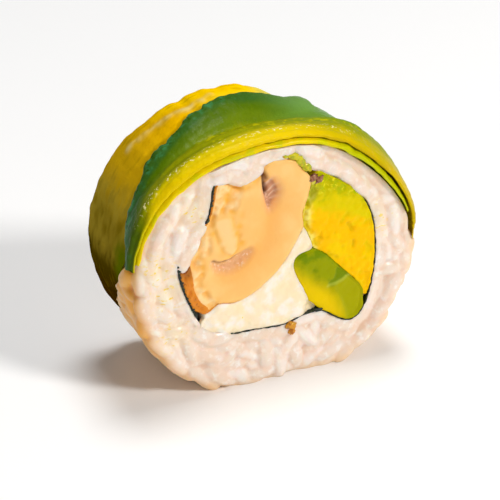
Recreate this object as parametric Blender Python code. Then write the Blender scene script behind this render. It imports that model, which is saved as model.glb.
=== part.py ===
"""One piece of an uramaki roll, standing on its rice edge with a cut face to the front (-Y).

Rice outside, nori inside it, and a battered mushroom, cream cheese and two avocado chunks in the
middle. Three avocado slices are draped over the top. Shapes are drawn on the cut face in
millimetres, as (X, Z) points, and run through the roll along Y.
"""

import math
import random

import bmesh
import bpy
from mathutils import Matrix, Vector

MM = 0.001
WELD = 0.000001

LENGTH = 22.0
FRONT = -LENGTH / 2
BACK_TAPER = 0.03

GAP = 0.3
NORI_THICKNESS = 0.35
FILLING_INSET = 0.2
NORI_CLEARANCE = GAP + NORI_THICKNESS / 2 + 0.025
FILLING_ROUNDING = 0.35
BORDER_STEPS = 3
BORDER_SHORT = 0.8

GRAIN_HALF_SIZE = (2.75, 1.5, 1.4)
GRAIN_SHOWS = 1.0
GRAIN_DEPTH_VARIES = 0.25
GRAIN_SIZES = (0.85, 1.05)
GRAIN_SIDES = 6
GRAIN_RINGS = 4
GRAIN_PLUMPNESS = 0.45
GRAIN_SPACING = 2.9
GRAIN_CLEARANCE = 0.3
GRAIN_TRIES = 12000
RIM_POINTS = 12
FACE_GRAINS = 55
SIDE_GRAINS = 80
CORE_LENGTH = LENGTH - 2 * GRAIN_SHOWS

CLEFT_DEPTH = 4.0

# The rice under the slices and between its grains, round the cut face from the left of the base.
# It is pressed flat where it stands.
RICE_CORE = [
    (-7.5, 0.0), (-12.2, 1.7), (-16.1, 4.5), (-19.2, 8.2), (-21.6, 12.8), (-23.4, 18.0),
    (-24.2, 22.8), (-23.5, 27.4), (-21.9, 31.6), (-19.2, 35.4), (-15.4, 38.5), (-10.6, 40.7),
    (-5.0, 41.9), (0.6, 42.2), (6.0, 41.6), (11.2, 39.5), (15.8, 36.0), (19.8, 31.9),
    (22.9, 27.3), (24.6, 22.6), (24.7, 17.4), (23.2, 12.2), (20.3, 6.8), (17.4, 3.0),
    (15.0, 1.6), (11.0, 0.9), (8.0, 0.2), (4.0, 0.0), (-2.0, 0.0),
]

# The middle of the nori sheet, from where its two ends meet above the mushroom.
NORI = [
    (-10.4, 38.4), (-6.4, 40.0), (-1.6, 40.5), (3.2, 39.6), (7.4, 36.9), (11.2, 34.3),
    (14.6, 31.5), (16.8, 27.3), (17.7, 22.4), (17.6, 17.0), (16.6, 11.8), (14.9, 8.6),
    (12.7, 8.1), (10.2, 9.6), (8.0, 11.1), (5.2, 11.1), (1.2, 10.0), (-4.0, 10.4),
    (-8.6, 10.7), (-12.4, 12.6), (-14.6, 16.6), (-16.2, 20.8), (-16.9, 25.2), (-15.4, 29.4),
    (-12.2, 31.6), (-11.2, 34.6),
]

# Where one filling ends and the next begins, from the middle out to the nori.
CHEESE_APEX = (4.7, 27.4)
CHEESE_TO_AVOCADOS = (6.4, 23.0)
MUSHROOM_TO_CHEESE = [
    CHEESE_APEX, (2.8, 23.8), (0.8, 21.0), (-1.6, 18.8), (-4.3, 17.1), (-7.4, 16.2),
    (-10.2, 16.6), (-12.0, 15.4), (-14.2, 15.2),
]
CHEESE_TO_LARGE = [CHEESE_APEX, (5.8, 25.2), CHEESE_TO_AVOCADOS]
CHEESE_TO_SMALL = [
    CHEESE_TO_AVOCADOS, (3.6, 22.1), (3.0, 20.3), (4.0, 17.6), (5.4, 14.6), (6.4, 11.2),
]
SMALL_TO_LARGE = [
    CHEESE_TO_AVOCADOS, (8.4, 21.8), (10.6, 19.4), (13.0, 16.8), (15.2, 14.2), (16.6, 11.4),
]
MUSHROOM_TO_LARGE = [CHEESE_APEX, (4.5, 29.8), (5.3, 32.2), (5.9, 34.6), (6.2, 38.0)]

# The clefts where the gills meet the stem.
UPPER_CLEFT = [
    (-2.3, 35.6), (-1.1, 37.0), (-0.2, 36.2), (0.4, 34.6), (-0.2, 33.0), (-1.2, 31.6), (-1.9, 33.4),
]
LOWER_CLEFT = [
    (-11.2, 24.4), (-9.6, 24.4), (-7.8, 24.6), (-5.8, 25.4), (-4.0, 24.9), (-5.6, 23.6),
    (-8.0, 22.6), (-10.4, 23.0),
]

# Along each slice, in millimetres of outline from the top of the roll, left below zero: where it
# is, its front edge, its back edge, its thickness at the front edge, and how much thicker it gets
# behind that. The first and last rows are its ends.
LOWER_SLICE = [
    (-30.0, -10.8, -9.0, 0.3, 0.0), (-24.0, -10.9, -6.8, 0.6, 0.0), (-10.0, -10.9, -5.2, 0.9, 0.0),
    (4.0, -10.9, -5.0, 0.9, 0.0), (18.0, -10.9, -5.6, 0.9, 0.0), (25.0, -10.9, -6.6, 0.6, 0.0),
    (31.0, -10.8, -8.6, 0.2, 0.0),
]
BACK_SLICE = [
    (-49.5, 8.6, 10.6, 0.5, 0.5), (-46.5, 5.6, 10.8, 0.6, 0.6), (-42.5, 2.2, 10.9, 0.6, 0.6),
    (-37.5, -2.0, 10.9, 0.5, 0.6), (-33.5, -5.0, 10.8, 0.5, 0.6), (-29.0, -7.0, 10.8, 0.6, 0.5),
    (-22.0, -4.6, 10.6, 1.0, 0.7), (-13.0, -3.2, 10.6, 1.5, 0.9), (-4.0, -1.0, 10.8, 2.1, 0.8),
    (3.0, 1.4, 10.7, 1.9, 0.8), (9.6, 3.4, 9.8, 0.9, 0.3),
]
UPPER_SLICE = [
    (-31.2, -10.8, -8.9, 0.5, 0.0), (-28.0, -10.9, -7.6, 0.8, 0.0), (-23.0, -10.9, -4.4, 1.1, -0.3),
    (-17.6, -10.9, -2.0, 1.3, -0.5), (-11.0, -10.9, 0.2, 1.4, -0.5), (-4.4, -10.8, 3.1, 1.3, -0.5),
    (2.6, -10.7, 3.9, 1.2, -0.5), (8.0, -10.6, 4.6, 1.2, -0.2), (13.5, -10.5, 8.0, 1.3, 0.9),
    (20.0, -10.5, 10.2, 1.3, 1.1), (28.0, -10.7, 8.0, 1.2, 0.7), (33.0, -10.7, 1.0, 0.8, 0.3),
    (36.8, -10.4, -7.0, 0.35, 0.0),
]
CROWN_WIDTH = 6.0
BRIDGE_ALONG = 5.0
BRIDGE_ACROSS = 3.0
BRIDGE_STEPS = 5
BRIDGE_LEVEL = 0.4
END_CROWDING = 0.35
SLICE_STATIONS = 40
SLICE_SIDES = 14

RICE_COLOUR = (0.86, 0.70, 0.56)
NORI_COLOUR = (0.012, 0.022, 0.014)
MUSHROOM_COLOUR = (0.86, 0.55, 0.20)
CHEESE_COLOUR = (0.93, 0.85, 0.66)
RIPE_COLOUR = (0.90, 0.62, 0.02)
GREEN_COLOUR = (0.40, 0.38, 0.02)
SLICE_GREEN_COLOUR = (0.16, 0.30, 0.03)
SLICE_YELLOW_COLOUR = (0.62, 0.55, 0.03)
SLICE_GOLD_COLOUR = (0.66, 0.42, 0.02)


def clear_scene():
    for obj in list(bpy.data.objects):
        bpy.data.objects.remove(obj, do_unlink=True)


def new_collection(name):
    collection = bpy.data.collections.new(name)
    bpy.context.scene.collection.children.link(collection)
    return collection


def material(name, colour, roughness):
    made = bpy.data.materials.new(name)
    made.use_nodes = True
    shader = made.node_tree.nodes["Principled BSDF"]
    shader.inputs["Base Color"].default_value = (*colour, 1.0)
    shader.inputs["Roughness"].default_value = roughness
    shader.inputs["Metallic"].default_value = 0.0
    return made


def spline_point(before, start, end, after, t):
    """The point at t between start and end on the smooth curve through all four."""
    return tuple(
        0.5 * (2 * b + (c - a) * t + (2 * a - 5 * b + 4 * c - d) * t**2 + (3 * b - a - 3 * c + d) * t**3)
        for a, b, c, d in zip(before, start, end, after)
    )


def smooth_loop(points, steps):
    """A closed smooth curve through the points, with this many steps from each to the next."""
    count = len(points)
    loop = []
    for i in range(count):
        corners = [points[(i + k) % count] for k in (-1, 0, 1, 2)]
        loop += [spline_point(*corners, j / steps) for j in range(steps)]
    return loop


def smooth_line(points, steps):
    """An open smooth curve through the points, ends included."""
    padded = [points[0], *points, points[-1]]
    line = []
    for i in range(len(points) - 1):
        line += [spline_point(*padded[i : i + 4], j / steps) for j in range(steps)]
    return [*line, points[-1]]


def pressed_flat(loop):
    return [(x, max(z, 0.0)) for x, z in loop]


def grown(loop, distance):
    """The loop with each point moved outwards by this distance, or inwards if it is negative."""
    area = sum(a[0] * b[1] - b[0] * a[1] for a, b in zip(loop, loop[1:] + loop[:1]))
    outwards = distance if area > 0 else -distance
    moved = []
    for i, (x, z) in enumerate(loop):
        before = loop[i - 1]
        after = loop[(i + 1) % len(loop)]
        along = Vector((after[0] - before[0], after[1] - before[1])).normalized()
        moved.append((x + along.y * outwards, z - along.x * outwards))
    return moved


def nearest(loop, point):
    return min(loop, key=lambda other: math.dist(other, point))


def between(loop, start, end):
    """The loop's points after start and before end, which are two of them."""
    first = loop.index(start)
    count = (loop.index(end) - first) % len(loop)
    return [loop[(first + i) % len(loop)] for i in range(1, count)]


def inside(loop, point):
    x, z = point
    crossings = 0
    for (x0, z0), (x1, z1) in zip(loop, loop[1:] + loop[:1]):
        if (z0 > z) != (z1 > z) and x < x0 + (x1 - x0) * (z - z0) / (z1 - z0):
            crossings += 1
    return crossings % 2 == 1


class Outline:
    """The rice core's outline, measured along from its highest point: right is above zero."""

    def __init__(self, loop):
        top = max(range(len(loop)), key=lambda i: loop[i][1])
        self.points = [Vector(p) for p in loop[top:] + loop[: top + 1]]
        self.marks = [0.0]
        for a, b in zip(self.points, self.points[1:]):
            self.marks.append(self.marks[-1] + (b - a).length)
        self.length = self.marks[-1]

    def at(self, along):
        """The point there and the direction that points out of the rice."""
        along = along % self.length
        i = max(k for k, mark in enumerate(self.marks[:-1]) if mark <= along)
        a, b = self.points[i], self.points[i + 1]
        step = (b - a).normalized()
        return a + step * (along - self.marks[i]), Vector((-step.y, step.x))


def row_at(rows, along):
    """The front edge, back edge and thickness of a slice, from its table of rows."""
    along = min(max(along, rows[0][0]), rows[-1][0])
    for i in range(len(rows) - 1):
        if along <= rows[i + 1][0]:
            corners = [rows[max(i - 1, 0)], rows[i], rows[i + 1], rows[min(i + 2, len(rows) - 1)]]
            t = (along - rows[i][0]) / (rows[i + 1][0] - rows[i][0])
            return spline_point(*corners, t)[1:]
    return rows[-1][1:]


def face_outwards(mesh):
    bmesh.ops.recalc_face_normals(mesh, faces=mesh.faces)
    if mesh.calc_volume(signed=True) < 0:
        bmesh.ops.reverse_faces(mesh, faces=mesh.faces)


def prism(name, loops, length, rounding=0.0):
    """A filled outline, standing on edge and run along Y. Loops after the first are holes.

    It is drawn in millimetres and then scaled, because filling fails on gaps of a few tenths of one.
    """
    flat = bpy.data.curves.new(name, "CURVE")
    flat.dimensions = "2D"
    flat.fill_mode = "BOTH"
    flat.extrude = length / 2 - rounding
    flat.bevel_depth = rounding
    flat.bevel_resolution = 1
    flat.offset = -rounding
    for loop in loops:
        spline = flat.splines.new("POLY")
        spline.points.add(len(loop) - 1)
        for point, (x, z) in zip(spline.points, loop):
            point.co = (x, z, 0.0, 1.0)
        spline.use_cyclic_u = True
    drawn = bpy.data.objects.new(name, flat)
    bpy.context.scene.collection.objects.link(drawn)
    drawn.rotation_euler.x = math.pi / 2
    drawn.scale = (MM, MM, MM)
    bpy.context.view_layer.update()
    solid = bpy.data.meshes.new_from_object(drawn.evaluated_get(bpy.context.evaluated_depsgraph_get()))
    solid.transform(drawn.matrix_world)
    bpy.data.objects.remove(drawn)
    welded = bmesh.new()
    welded.from_mesh(solid)
    bmesh.ops.remove_doubles(welded, verts=welded.verts, dist=WELD)
    face_outwards(welded)
    welded.to_mesh(solid)
    welded.free()
    return bpy.data.objects.new(name, solid)


def joined(piece, operation, others, solver="EXACT"):
    """Unites the others with the piece, or cuts them from it, and removes them."""
    tool = piece.modifiers.new(operation.title(), "BOOLEAN")
    tool.operation = operation
    tool.operand_type = "COLLECTION"
    tool.collection = others
    tool.solver = solver
    bpy.context.view_layer.update()
    result = bpy.data.meshes.new_from_object(piece.evaluated_get(bpy.context.evaluated_depsgraph_get()))
    piece.modifiers.clear()
    piece.data = result
    for other in list(others.objects):
        bpy.data.objects.remove(other)


def keep_largest_shell(piece):
    """Fills hollows that joining has sealed and drops loose scraps."""
    mesh = bmesh.new()
    mesh.from_mesh(piece.data)
    left = set(mesh.verts)
    shells = []
    while left:
        shell = set()
        edge_of_search = [left.pop()]
        while edge_of_search:
            vertex = edge_of_search.pop()
            shell.add(vertex)
            for edge in vertex.link_edges:
                other = edge.other_vert(vertex)
                if other in left:
                    left.remove(other)
                    edge_of_search.append(other)
        shells.append(shell)
    shells.sort(key=len)
    for shell in shells[:-1]:
        bmesh.ops.delete(mesh, geom=list(shell), context="VERTS")
    mesh.to_mesh(piece.data)
    mesh.free()


def grain_turn(long_way, outwards):
    """The rotation of a grain that lies along long_way on a surface that faces outwards."""
    across = outwards.cross(long_way).normalized()
    return Matrix((across.cross(outwards), across, outwards)).transposed()


def grain_reach(turn, size, way):
    """How far a grain reaches from its middle in this direction."""
    return Vector(size[k] * turn.col[k].dot(way) for k in range(3)).length


class Rice:
    """The grains that show on the rice core, laid one by one."""

    def __init__(self, rng, collection):
        self.rng = rng
        self.collection = collection
        self.middles = []

    def crowded(self, middle):
        return any((middle - other).length < GRAIN_SPACING for other in self.middles)

    def lay(self, middle, turn, size):
        mesh = bmesh.new()
        bmesh.ops.create_uvsphere(mesh, u_segments=GRAIN_SIDES, v_segments=GRAIN_RINGS, radius=1.0)
        for vertex in mesh.verts:
            girth = vertex.co.xy.length
            if girth > 0.01:
                vertex.co.xy *= girth**GRAIN_PLUMPNESS / girth
        data = bpy.data.meshes.new("grain")
        mesh.to_mesh(data)
        mesh.free()
        lying = Matrix.Rotation(math.pi / 2, 4, "Y")
        scaled = Matrix.Diagonal((*(s * MM for s in size), 1.0))
        data.transform(Matrix.Translation(middle * MM) @ turn.to_4x4() @ scaled @ lying)
        self.collection.objects.link(bpy.data.objects.new("grain", data))
        self.middles.append(middle)

    def size(self):
        return tuple(s * self.rng.uniform(*GRAIN_SIZES) for s in GRAIN_HALF_SIZE)

    def cover_face(self, side, core, hole):
        """Grains on the cut face at this side: -1 is the front. They stay clear of the hole."""
        outwards = Vector((0.0, side, 0.0))
        left, right = min(x for x, _ in core), max(x for x, _ in core)
        top = max(z for _, z in core)
        laid = 0
        for _ in range(GRAIN_TRIES):
            if laid == FACE_GRAINS:
                return
            spot = (self.rng.uniform(left, right), self.rng.uniform(0.0, top))
            angle = self.rng.uniform(0.0, math.pi)
            long_way = Vector((math.cos(angle), 0.0, math.sin(angle)))
            size = self.size()
            turn = grain_turn(long_way, outwards)
            rim = [
                (
                    spot[0] + turn.col[0].x * size[0] * math.cos(a) + turn.col[1].x * size[1] * math.sin(a),
                    spot[1] + turn.col[0].z * size[0] * math.cos(a) + turn.col[1].z * size[1] * math.sin(a),
                )
                for a in (math.tau * k / RIM_POINTS for k in range(RIM_POINTS))
            ]
            if not all(inside(core, p) and not inside(hole, p) for p in rim):
                continue
            reach = LENGTH / 2 - self.rng.uniform(0.0, GRAIN_DEPTH_VARIES)
            middle = Vector((spot[0], side * (reach - size[2]), spot[1]))
            if self.crowded(middle):
                continue
            self.lay(middle, turn, size)
            laid += 1

    def cover_side(self, outline, covered):
        """Grains round the outside, where no slice covers the rice and nothing presses it flat."""
        laid = 0
        for _ in range(GRAIN_TRIES):
            if laid == SIDE_GRAINS:
                return
            along = self.rng.uniform(-outline.length / 2, outline.length / 2)
            angle = self.rng.uniform(0.0, math.pi)
            depth = self.rng.uniform(FRONT + GRAIN_HALF_SIZE[1], -FRONT - GRAIN_HALF_SIZE[1])
            if covered(along, depth):
                continue
            point, normal = outline.at(along)
            outwards = Vector((normal.x, 0.0, normal.y))
            round_it = Vector((normal.y, 0.0, -normal.x))
            long_way = Vector((0.0, math.cos(angle), 0.0)) + round_it * math.sin(angle)
            size = self.size()
            turn = grain_turn(long_way, outwards)
            rise = GRAIN_SHOWS - self.rng.uniform(0.0, GRAIN_DEPTH_VARIES) - size[2]
            middle = Vector((point.x, depth, point.y)) + outwards * rise
            depth_reach = grain_reach(turn, size, Vector((0.0, 1.0, 0.0)))
            low = middle.z - grain_reach(turn, size, Vector((0.0, 0.0, 1.0)))
            if abs(depth) + depth_reach > LENGTH / 2 or low < GRAIN_CLEARANCE or self.crowded(middle):
                continue
            self.lay(middle, turn, size)
            laid += 1


def smoothstep(low, high, value):
    t = min(max((value - low) / (high - low), 0.0), 1.0)
    return t * t * (3.0 - 2.0 * t)


def crowned(thickness, crown, behind):
    """A slice's thickness this far behind its front edge."""
    return thickness * (1.0 + crown * smoothstep(0.0, CROWN_WIDTH, behind))


def slice_top(rows, along, depth):
    """How high a slice that lies on the rice core stands over it at a place, or zero beside it."""
    if not rows[0][0] <= along <= rows[-1][0]:
        return 0.0
    front, back, thickness, crown = row_at(rows, along)
    across = (depth - (front + back) / 2) / ((back - front) / 2)
    if abs(across) >= 1.0:
        return 0.0
    return GAP + crowned(thickness, crown, depth - front) * (0.5 + 0.5 * math.sqrt(1.0 - across**4))


def lies_at(under, along, depth):
    """How high over the rice core a slice's underside is. It bridges down from the slices under it."""
    highest = 0.0
    for rows in under:
        for step in range(-BRIDGE_STEPS, BRIDGE_STEPS + 1):
            for side in range(-BRIDGE_STEPS, BRIDGE_STEPS + 1):
                drop = smoothstep(1.0, BRIDGE_LEVEL, math.hypot(step, side) / BRIDGE_STEPS)
                if drop > 0.0:
                    beside = along + step * BRIDGE_ALONG / BRIDGE_STEPS
                    behind = depth + side * BRIDGE_ACROSS / BRIDGE_STEPS
                    highest = max(highest, slice_top(rows, beside, behind) * drop)
    return highest + GAP


def slice_covers(rows, along, depth, margin):
    near = min(max(along, rows[0][0]), rows[-1][0])
    front, back = row_at(rows, near)[:2]
    return abs(along - near) < margin and front - margin < depth < back + margin


def avocado_slice(name, outline, rows, under):
    """A slice bent over the rice: a closed loft whose sections are lens shapes across the roll."""
    mesh = bmesh.new()
    bmesh.ops.create_grid(mesh, x_segments=SLICE_STATIONS, y_segments=SLICE_SIDES, size=0.5)
    for vertex in mesh.verts:
        station = vertex.co.x + 0.5
        eased = (1.0 - END_CROWDING) * station + END_CROWDING * (0.5 - 0.5 * math.cos(math.pi * station))
        around = math.tau * (vertex.co.y + 0.5)
        along = rows[0][0] + (rows[-1][0] - rows[0][0]) * eased
        front, back, thickness, crown = row_at(rows, along)
        depth = (front + back) / 2 - (back - front) / 2 * math.cos(around)
        bulge = math.copysign(abs(math.sin(around)) ** 0.5, math.sin(around))
        full = crowned(thickness, crown, depth - front)
        height = lies_at(under, along, depth) + full * (0.5 + 0.5 * bulge)
        point, normal = outline.at(along)
        place = point + normal * height
        vertex.co = (place.x * MM, depth * MM, place.y * MM)
    bmesh.ops.remove_doubles(mesh, verts=mesh.verts, dist=WELD)
    bmesh.ops.holes_fill(mesh, edges=[edge for edge in mesh.edges if edge.is_boundary])
    bmesh.ops.triangulate(mesh, faces=[face for face in mesh.faces if len(face.verts) > 4])
    face_outwards(mesh)
    data = bpy.data.meshes.new(name)
    mesh.to_mesh(data)
    mesh.free()
    return bpy.data.objects.new(name, data)


def taper_to_back(piece):
    """The roll is a little smaller at the back. The base stays level."""
    for vertex in piece.data.vertices:
        scale = 1.0 - BACK_TAPER * (vertex.co.y / MM - FRONT) / LENGTH
        vertex.co.x *= scale
        vertex.co.z *= scale


def finish(piece, parts, look):
    taper_to_back(piece)
    piece.data.materials.clear()
    piece.data.materials.append(look)
    piece.data.shade_smooth()
    piece.data.set_sharp_from_angle(angle=math.radians(40))
    parts.objects.link(piece)


def make_rice(parts, cutters, core, hole, outline, covered):
    grains = Rice(random.Random(12), cutters)
    for side in (-1, 1):
        grains.cover_face(side, grown(core, -GRAIN_CLEARANCE), grown(hole, GRAIN_CLEARANCE))
    grains.cover_side(outline, covered)
    rice = prism("rice", [core, hole], CORE_LENGTH)
    parts.objects.link(rice)
    joined(rice, "UNION", cutters)
    keep_largest_shell(rice)
    parts.objects.unlink(rice)
    finish(rice, parts, material("rice", RICE_COLOUR, 0.45))


def border(points, wall):
    """The line between two fillings, up to just short of the wall, and the wall's point it heads for."""
    reached = grown(wall, -BORDER_SHORT)
    return [p for p in smooth_line(points, BORDER_STEPS) if inside(reached, p)], nearest(wall, points[-1])


def make_fillings(parts, cutters, wrapped):
    """The four fillings, which share the space inside the nori."""
    to_cheese, left = border(MUSHROOM_TO_CHEESE, wrapped)
    to_large, top = border(MUSHROOM_TO_LARGE, wrapped)
    cheese_small, base = border(CHEESE_TO_SMALL, wrapped)
    small_large, right = border(SMALL_TO_LARGE, wrapped)
    cheese_large = smooth_line(CHEESE_TO_LARGE, BORDER_STEPS)
    outlines = {
        "mushroom": between(wrapped, left, top) + to_large[::-1] + to_cheese[1:],
        "avocado_filling_large": (
            between(wrapped, top, right) + small_large[::-1] + cheese_large[-2::-1] + to_large[1:]
        ),
        "avocado_filling_small": between(wrapped, right, base) + cheese_small[::-1] + small_large[1:],
        "cream_cheese": (
            between(wrapped, base, left) + to_cheese[::-1] + cheese_large[1:] + cheese_small[1:]
        ),
    }
    looks = {
        "mushroom": material("mushroom", MUSHROOM_COLOUR, 0.45),
        "avocado_filling_large": material("ripe avocado", RIPE_COLOUR, 0.3),
        "avocado_filling_small": material("green avocado", GREEN_COLOUR, 0.3),
        "cream_cheese": material("cream cheese", CHEESE_COLOUR, 0.4),
    }
    for name, outline in outlines.items():
        piece = prism(name, [grown(outline, -FILLING_INSET)], LENGTH, FILLING_ROUNDING)
        if name == "mushroom":
            parts.objects.link(piece)
            cut_clefts(piece, cutters)
            parts.objects.unlink(piece)
        finish(piece, parts, looks[name])


def cut_clefts(mushroom, cutters):
    for cleft in (UPPER_CLEFT, LOWER_CLEFT):
        for side in (-1, 1):
            cutter = prism("cleft", [smooth_loop(cleft, 2)], 2 * CLEFT_DEPTH)
            cutter.data.transform(Matrix.Translation((0.0, side * LENGTH / 2 * MM, 0.0)))
            cutters.objects.link(cutter)
    joined(mushroom, "DIFFERENCE", cutters)


def main():
    clear_scene()
    parts = new_collection("uramaki roll")
    cutters = new_collection("cutters")
    core = pressed_flat(smooth_loop(RICE_CORE, 2))
    nori = smooth_loop(NORI, 2)
    outline = Outline(core)
    hole = grown(nori, NORI_CLEARANCE)
    wrapped = grown(nori, -NORI_CLEARANCE + FILLING_INSET)

    slices = [
        ("avocado_slice_front_lower", LOWER_SLICE, [], SLICE_YELLOW_COLOUR),
        ("avocado_slice_back", BACK_SLICE, [], SLICE_GOLD_COLOUR),
        ("avocado_slice_front_upper", UPPER_SLICE, [LOWER_SLICE, BACK_SLICE], SLICE_GREEN_COLOUR),
    ]
    for name, rows, under, colour in slices:
        piece = avocado_slice(name, outline, rows, under)
        finish(piece, parts, material(name, colour, 0.3))

    half = NORI_THICKNESS / 2
    sheet = prism("nori", [grown(nori, half), grown(nori, -half)], LENGTH - 1.0)
    finish(sheet, parts, material("nori", NORI_COLOUR, 0.5))
    make_fillings(parts, cutters, wrapped)

    clear = GRAIN_HALF_SIZE[0] * GRAIN_SIZES[1] + GAP

    def covered(along, depth):
        return any(slice_covers(rows, along, depth, clear) for _, rows, _, _ in slices)

    make_rice(parts, cutters, core, hole, outline, covered)
    bpy.context.scene.collection.children.unlink(cutters)
    bpy.data.collections.remove(cutters)


main()
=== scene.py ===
"""The looks of one piece of an uramaki roll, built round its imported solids.

Shapes on the cut face are drawn in millimetres, as (X, Z) points, and run through the roll along Y.
The front cut face is at -Y. A place on the draped slices is (along, depth): millimetres of outline
from the top of the roll, left below zero, and the place along Y.
"""

import itertools
import math
import random

import bmesh
import bpy
import numpy as np
from mathutils import Matrix, Vector, kdtree, noise


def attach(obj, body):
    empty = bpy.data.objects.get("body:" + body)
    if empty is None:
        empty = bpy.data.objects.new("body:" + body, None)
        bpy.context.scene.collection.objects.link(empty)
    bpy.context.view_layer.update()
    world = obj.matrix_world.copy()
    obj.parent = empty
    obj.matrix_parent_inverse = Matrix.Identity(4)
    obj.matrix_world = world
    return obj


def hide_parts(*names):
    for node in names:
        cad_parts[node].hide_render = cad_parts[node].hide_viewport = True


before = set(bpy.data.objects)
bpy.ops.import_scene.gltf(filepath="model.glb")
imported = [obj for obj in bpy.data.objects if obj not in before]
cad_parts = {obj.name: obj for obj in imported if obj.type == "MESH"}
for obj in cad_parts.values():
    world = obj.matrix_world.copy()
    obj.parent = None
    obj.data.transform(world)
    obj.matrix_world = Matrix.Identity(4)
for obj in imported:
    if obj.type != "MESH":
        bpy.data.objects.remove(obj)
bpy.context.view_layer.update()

MM = 0.001
WELD = 0.000001

LENGTH = 22.0
FRONT = -LENGTH / 2
BACK_TAPER = 0.03

# The rice under the slices and between its grains, round the cut face from the left of the base.
RICE_CORE = [
    (-7.5, 0.0), (-12.2, 1.7), (-16.1, 4.5), (-19.2, 8.2), (-21.6, 12.8), (-23.4, 18.0),
    (-24.2, 22.8), (-23.5, 27.4), (-21.9, 31.6), (-19.2, 35.4), (-15.4, 38.5), (-10.6, 40.7),
    (-5.0, 41.9), (0.6, 42.2), (6.0, 41.6), (11.2, 39.5), (15.8, 36.0), (19.8, 31.9),
    (22.9, 27.3), (24.6, 22.6), (24.7, 17.4), (23.2, 12.2), (20.3, 6.8), (17.4, 3.0),
    (15.0, 1.6), (11.0, 0.9), (8.0, 0.2), (4.0, 0.0), (-2.0, 0.0),
]

# The middle of the nori sheet, from where its two ends meet above the mushroom.
NORI = [
    (-10.4, 38.4), (-6.4, 40.0), (-1.6, 40.5), (3.2, 39.6), (7.4, 36.9), (11.2, 34.3),
    (14.6, 31.5), (16.8, 27.3), (17.7, 22.4), (17.6, 17.0), (16.6, 11.8), (14.9, 8.6),
    (12.7, 8.1), (10.2, 9.6), (8.0, 11.1), (5.2, 11.1), (1.2, 10.0), (-4.0, 10.4),
    (-8.6, 10.7), (-12.4, 12.6), (-14.6, 16.6), (-16.2, 20.8), (-16.9, 25.2), (-15.4, 29.4),
    (-12.2, 31.6), (-11.2, 34.6),
]

# Where rice or cheese is smeared over the nori's edge, and where the edge is frayed and thick.
NORI_HIDDEN = [
    [
        (-9.6, 41.6), (-9.4, 38.6), (-6.5, 37.8), (-2.6, 38.4), (-1.0, 39.6), (3.5, 38.4), (7.0, 35.8),
        (11.0, 32.8), (14.4, 29.8), (17.0, 30.4), (12.6, 36.0), (8.0, 39.6), (2.0, 42.2), (-5.0, 42.2),
    ],
    [
        (-14.4, 31.6), (-14.0, 29.6), (-14.6, 27.6), (-16.2, 26.0), (-18.4, 25.8), (-17.6, 29.6),
        (-16.0, 31.4),
    ],
    [
        (-13.9, 14.6), (-12.2, 14.2), (-10.8, 12.6), (-8.8, 11.8), (-8.4, 9.6), (-11.2, 9.6),
        (-14.6, 12.0),
    ],
]
NORI_FRAYED = [
    (-18.4, 25.6), (-15.6, 25.6), (-14.4, 20.0), (-12.6, 15.2), (-15.0, 14.4), (-17.4, 20.0),
]
NORI_HALF_THICKNESS = 0.1
FRAYED_THICKER = 0.08
NORI_RECESS = 1.5
NORI_STATIONS = 1000
NORI_SIDES = 48
# A rolled-up scrap of nori: middle, half width and half height.
NORI_SCRAP = (7.4, 11.4, 0.75, 0.3)

# Along each slice: where it is, its front edge, its back edge, its thickness at the front edge, and
# how much thicker it gets behind that.
LOWER_SLICE = [
    (-30.0, -10.8, -9.0, 0.3, 0.0), (-24.0, -10.9, -6.8, 0.6, 0.0), (-10.0, -10.9, -5.2, 0.9, 0.0),
    (4.0, -10.9, -5.0, 0.9, 0.0), (18.0, -10.9, -5.6, 0.9, 0.0), (25.0, -10.9, -6.6, 0.6, 0.0),
    (31.0, -10.8, -8.6, 0.2, 0.0),
]
BACK_SLICE = [
    (-49.5, 8.6, 10.6, 0.5, 0.5), (-46.5, 5.6, 10.8, 0.6, 0.6), (-42.5, 2.2, 10.9, 0.6, 0.6),
    (-37.5, -2.0, 10.9, 0.5, 0.6), (-33.5, -5.0, 10.8, 0.5, 0.6), (-29.0, -7.0, 10.8, 0.6, 0.5),
    (-22.0, -4.6, 10.6, 1.0, 0.7), (-13.0, -3.2, 10.6, 1.5, 0.9), (-4.0, -1.0, 10.8, 2.1, 0.8),
    (3.0, 1.4, 10.7, 1.9, 0.8), (9.6, 3.4, 9.8, 0.9, 0.3),
]
UPPER_SLICE = [
    (-31.2, -10.8, -8.9, 0.5, 0.0), (-28.0, -10.9, -7.6, 0.8, 0.0), (-23.0, -10.9, -4.4, 1.1, -0.3),
    (-17.6, -10.9, -2.0, 1.3, -0.5), (-11.0, -10.9, 0.2, 1.4, -0.5), (-4.4, -10.8, 3.1, 1.3, -0.5),
    (2.6, -10.7, 3.9, 1.2, -0.5), (8.0, -10.6, 4.6, 1.2, -0.2), (13.5, -10.5, 8.0, 1.3, 0.9),
    (20.0, -10.5, 10.2, 1.3, 1.1), (28.0, -10.7, 8.0, 1.2, 0.7), (33.0, -10.7, 1.0, 0.8, 0.3),
    (36.8, -10.4, -7.0, 0.35, 0.0),
]
CROWN_WIDTH = 6.0
SLICE_GAP = 0.3
# How far the upper slice bridges down from the slices under it.
BRIDGE_TOP = 0.4
BRIDGE_ALONG = 5.0
BRIDGE_ACROSS = 3.0
BRIDGE_STEPS = 5

GRAIN_HALF_SIZE = (3.1, 1.6, 1.4)
GRAIN_PLUMPNESS = 0.6
RICE_SEED = 5
TINT_SEED = 8
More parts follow.
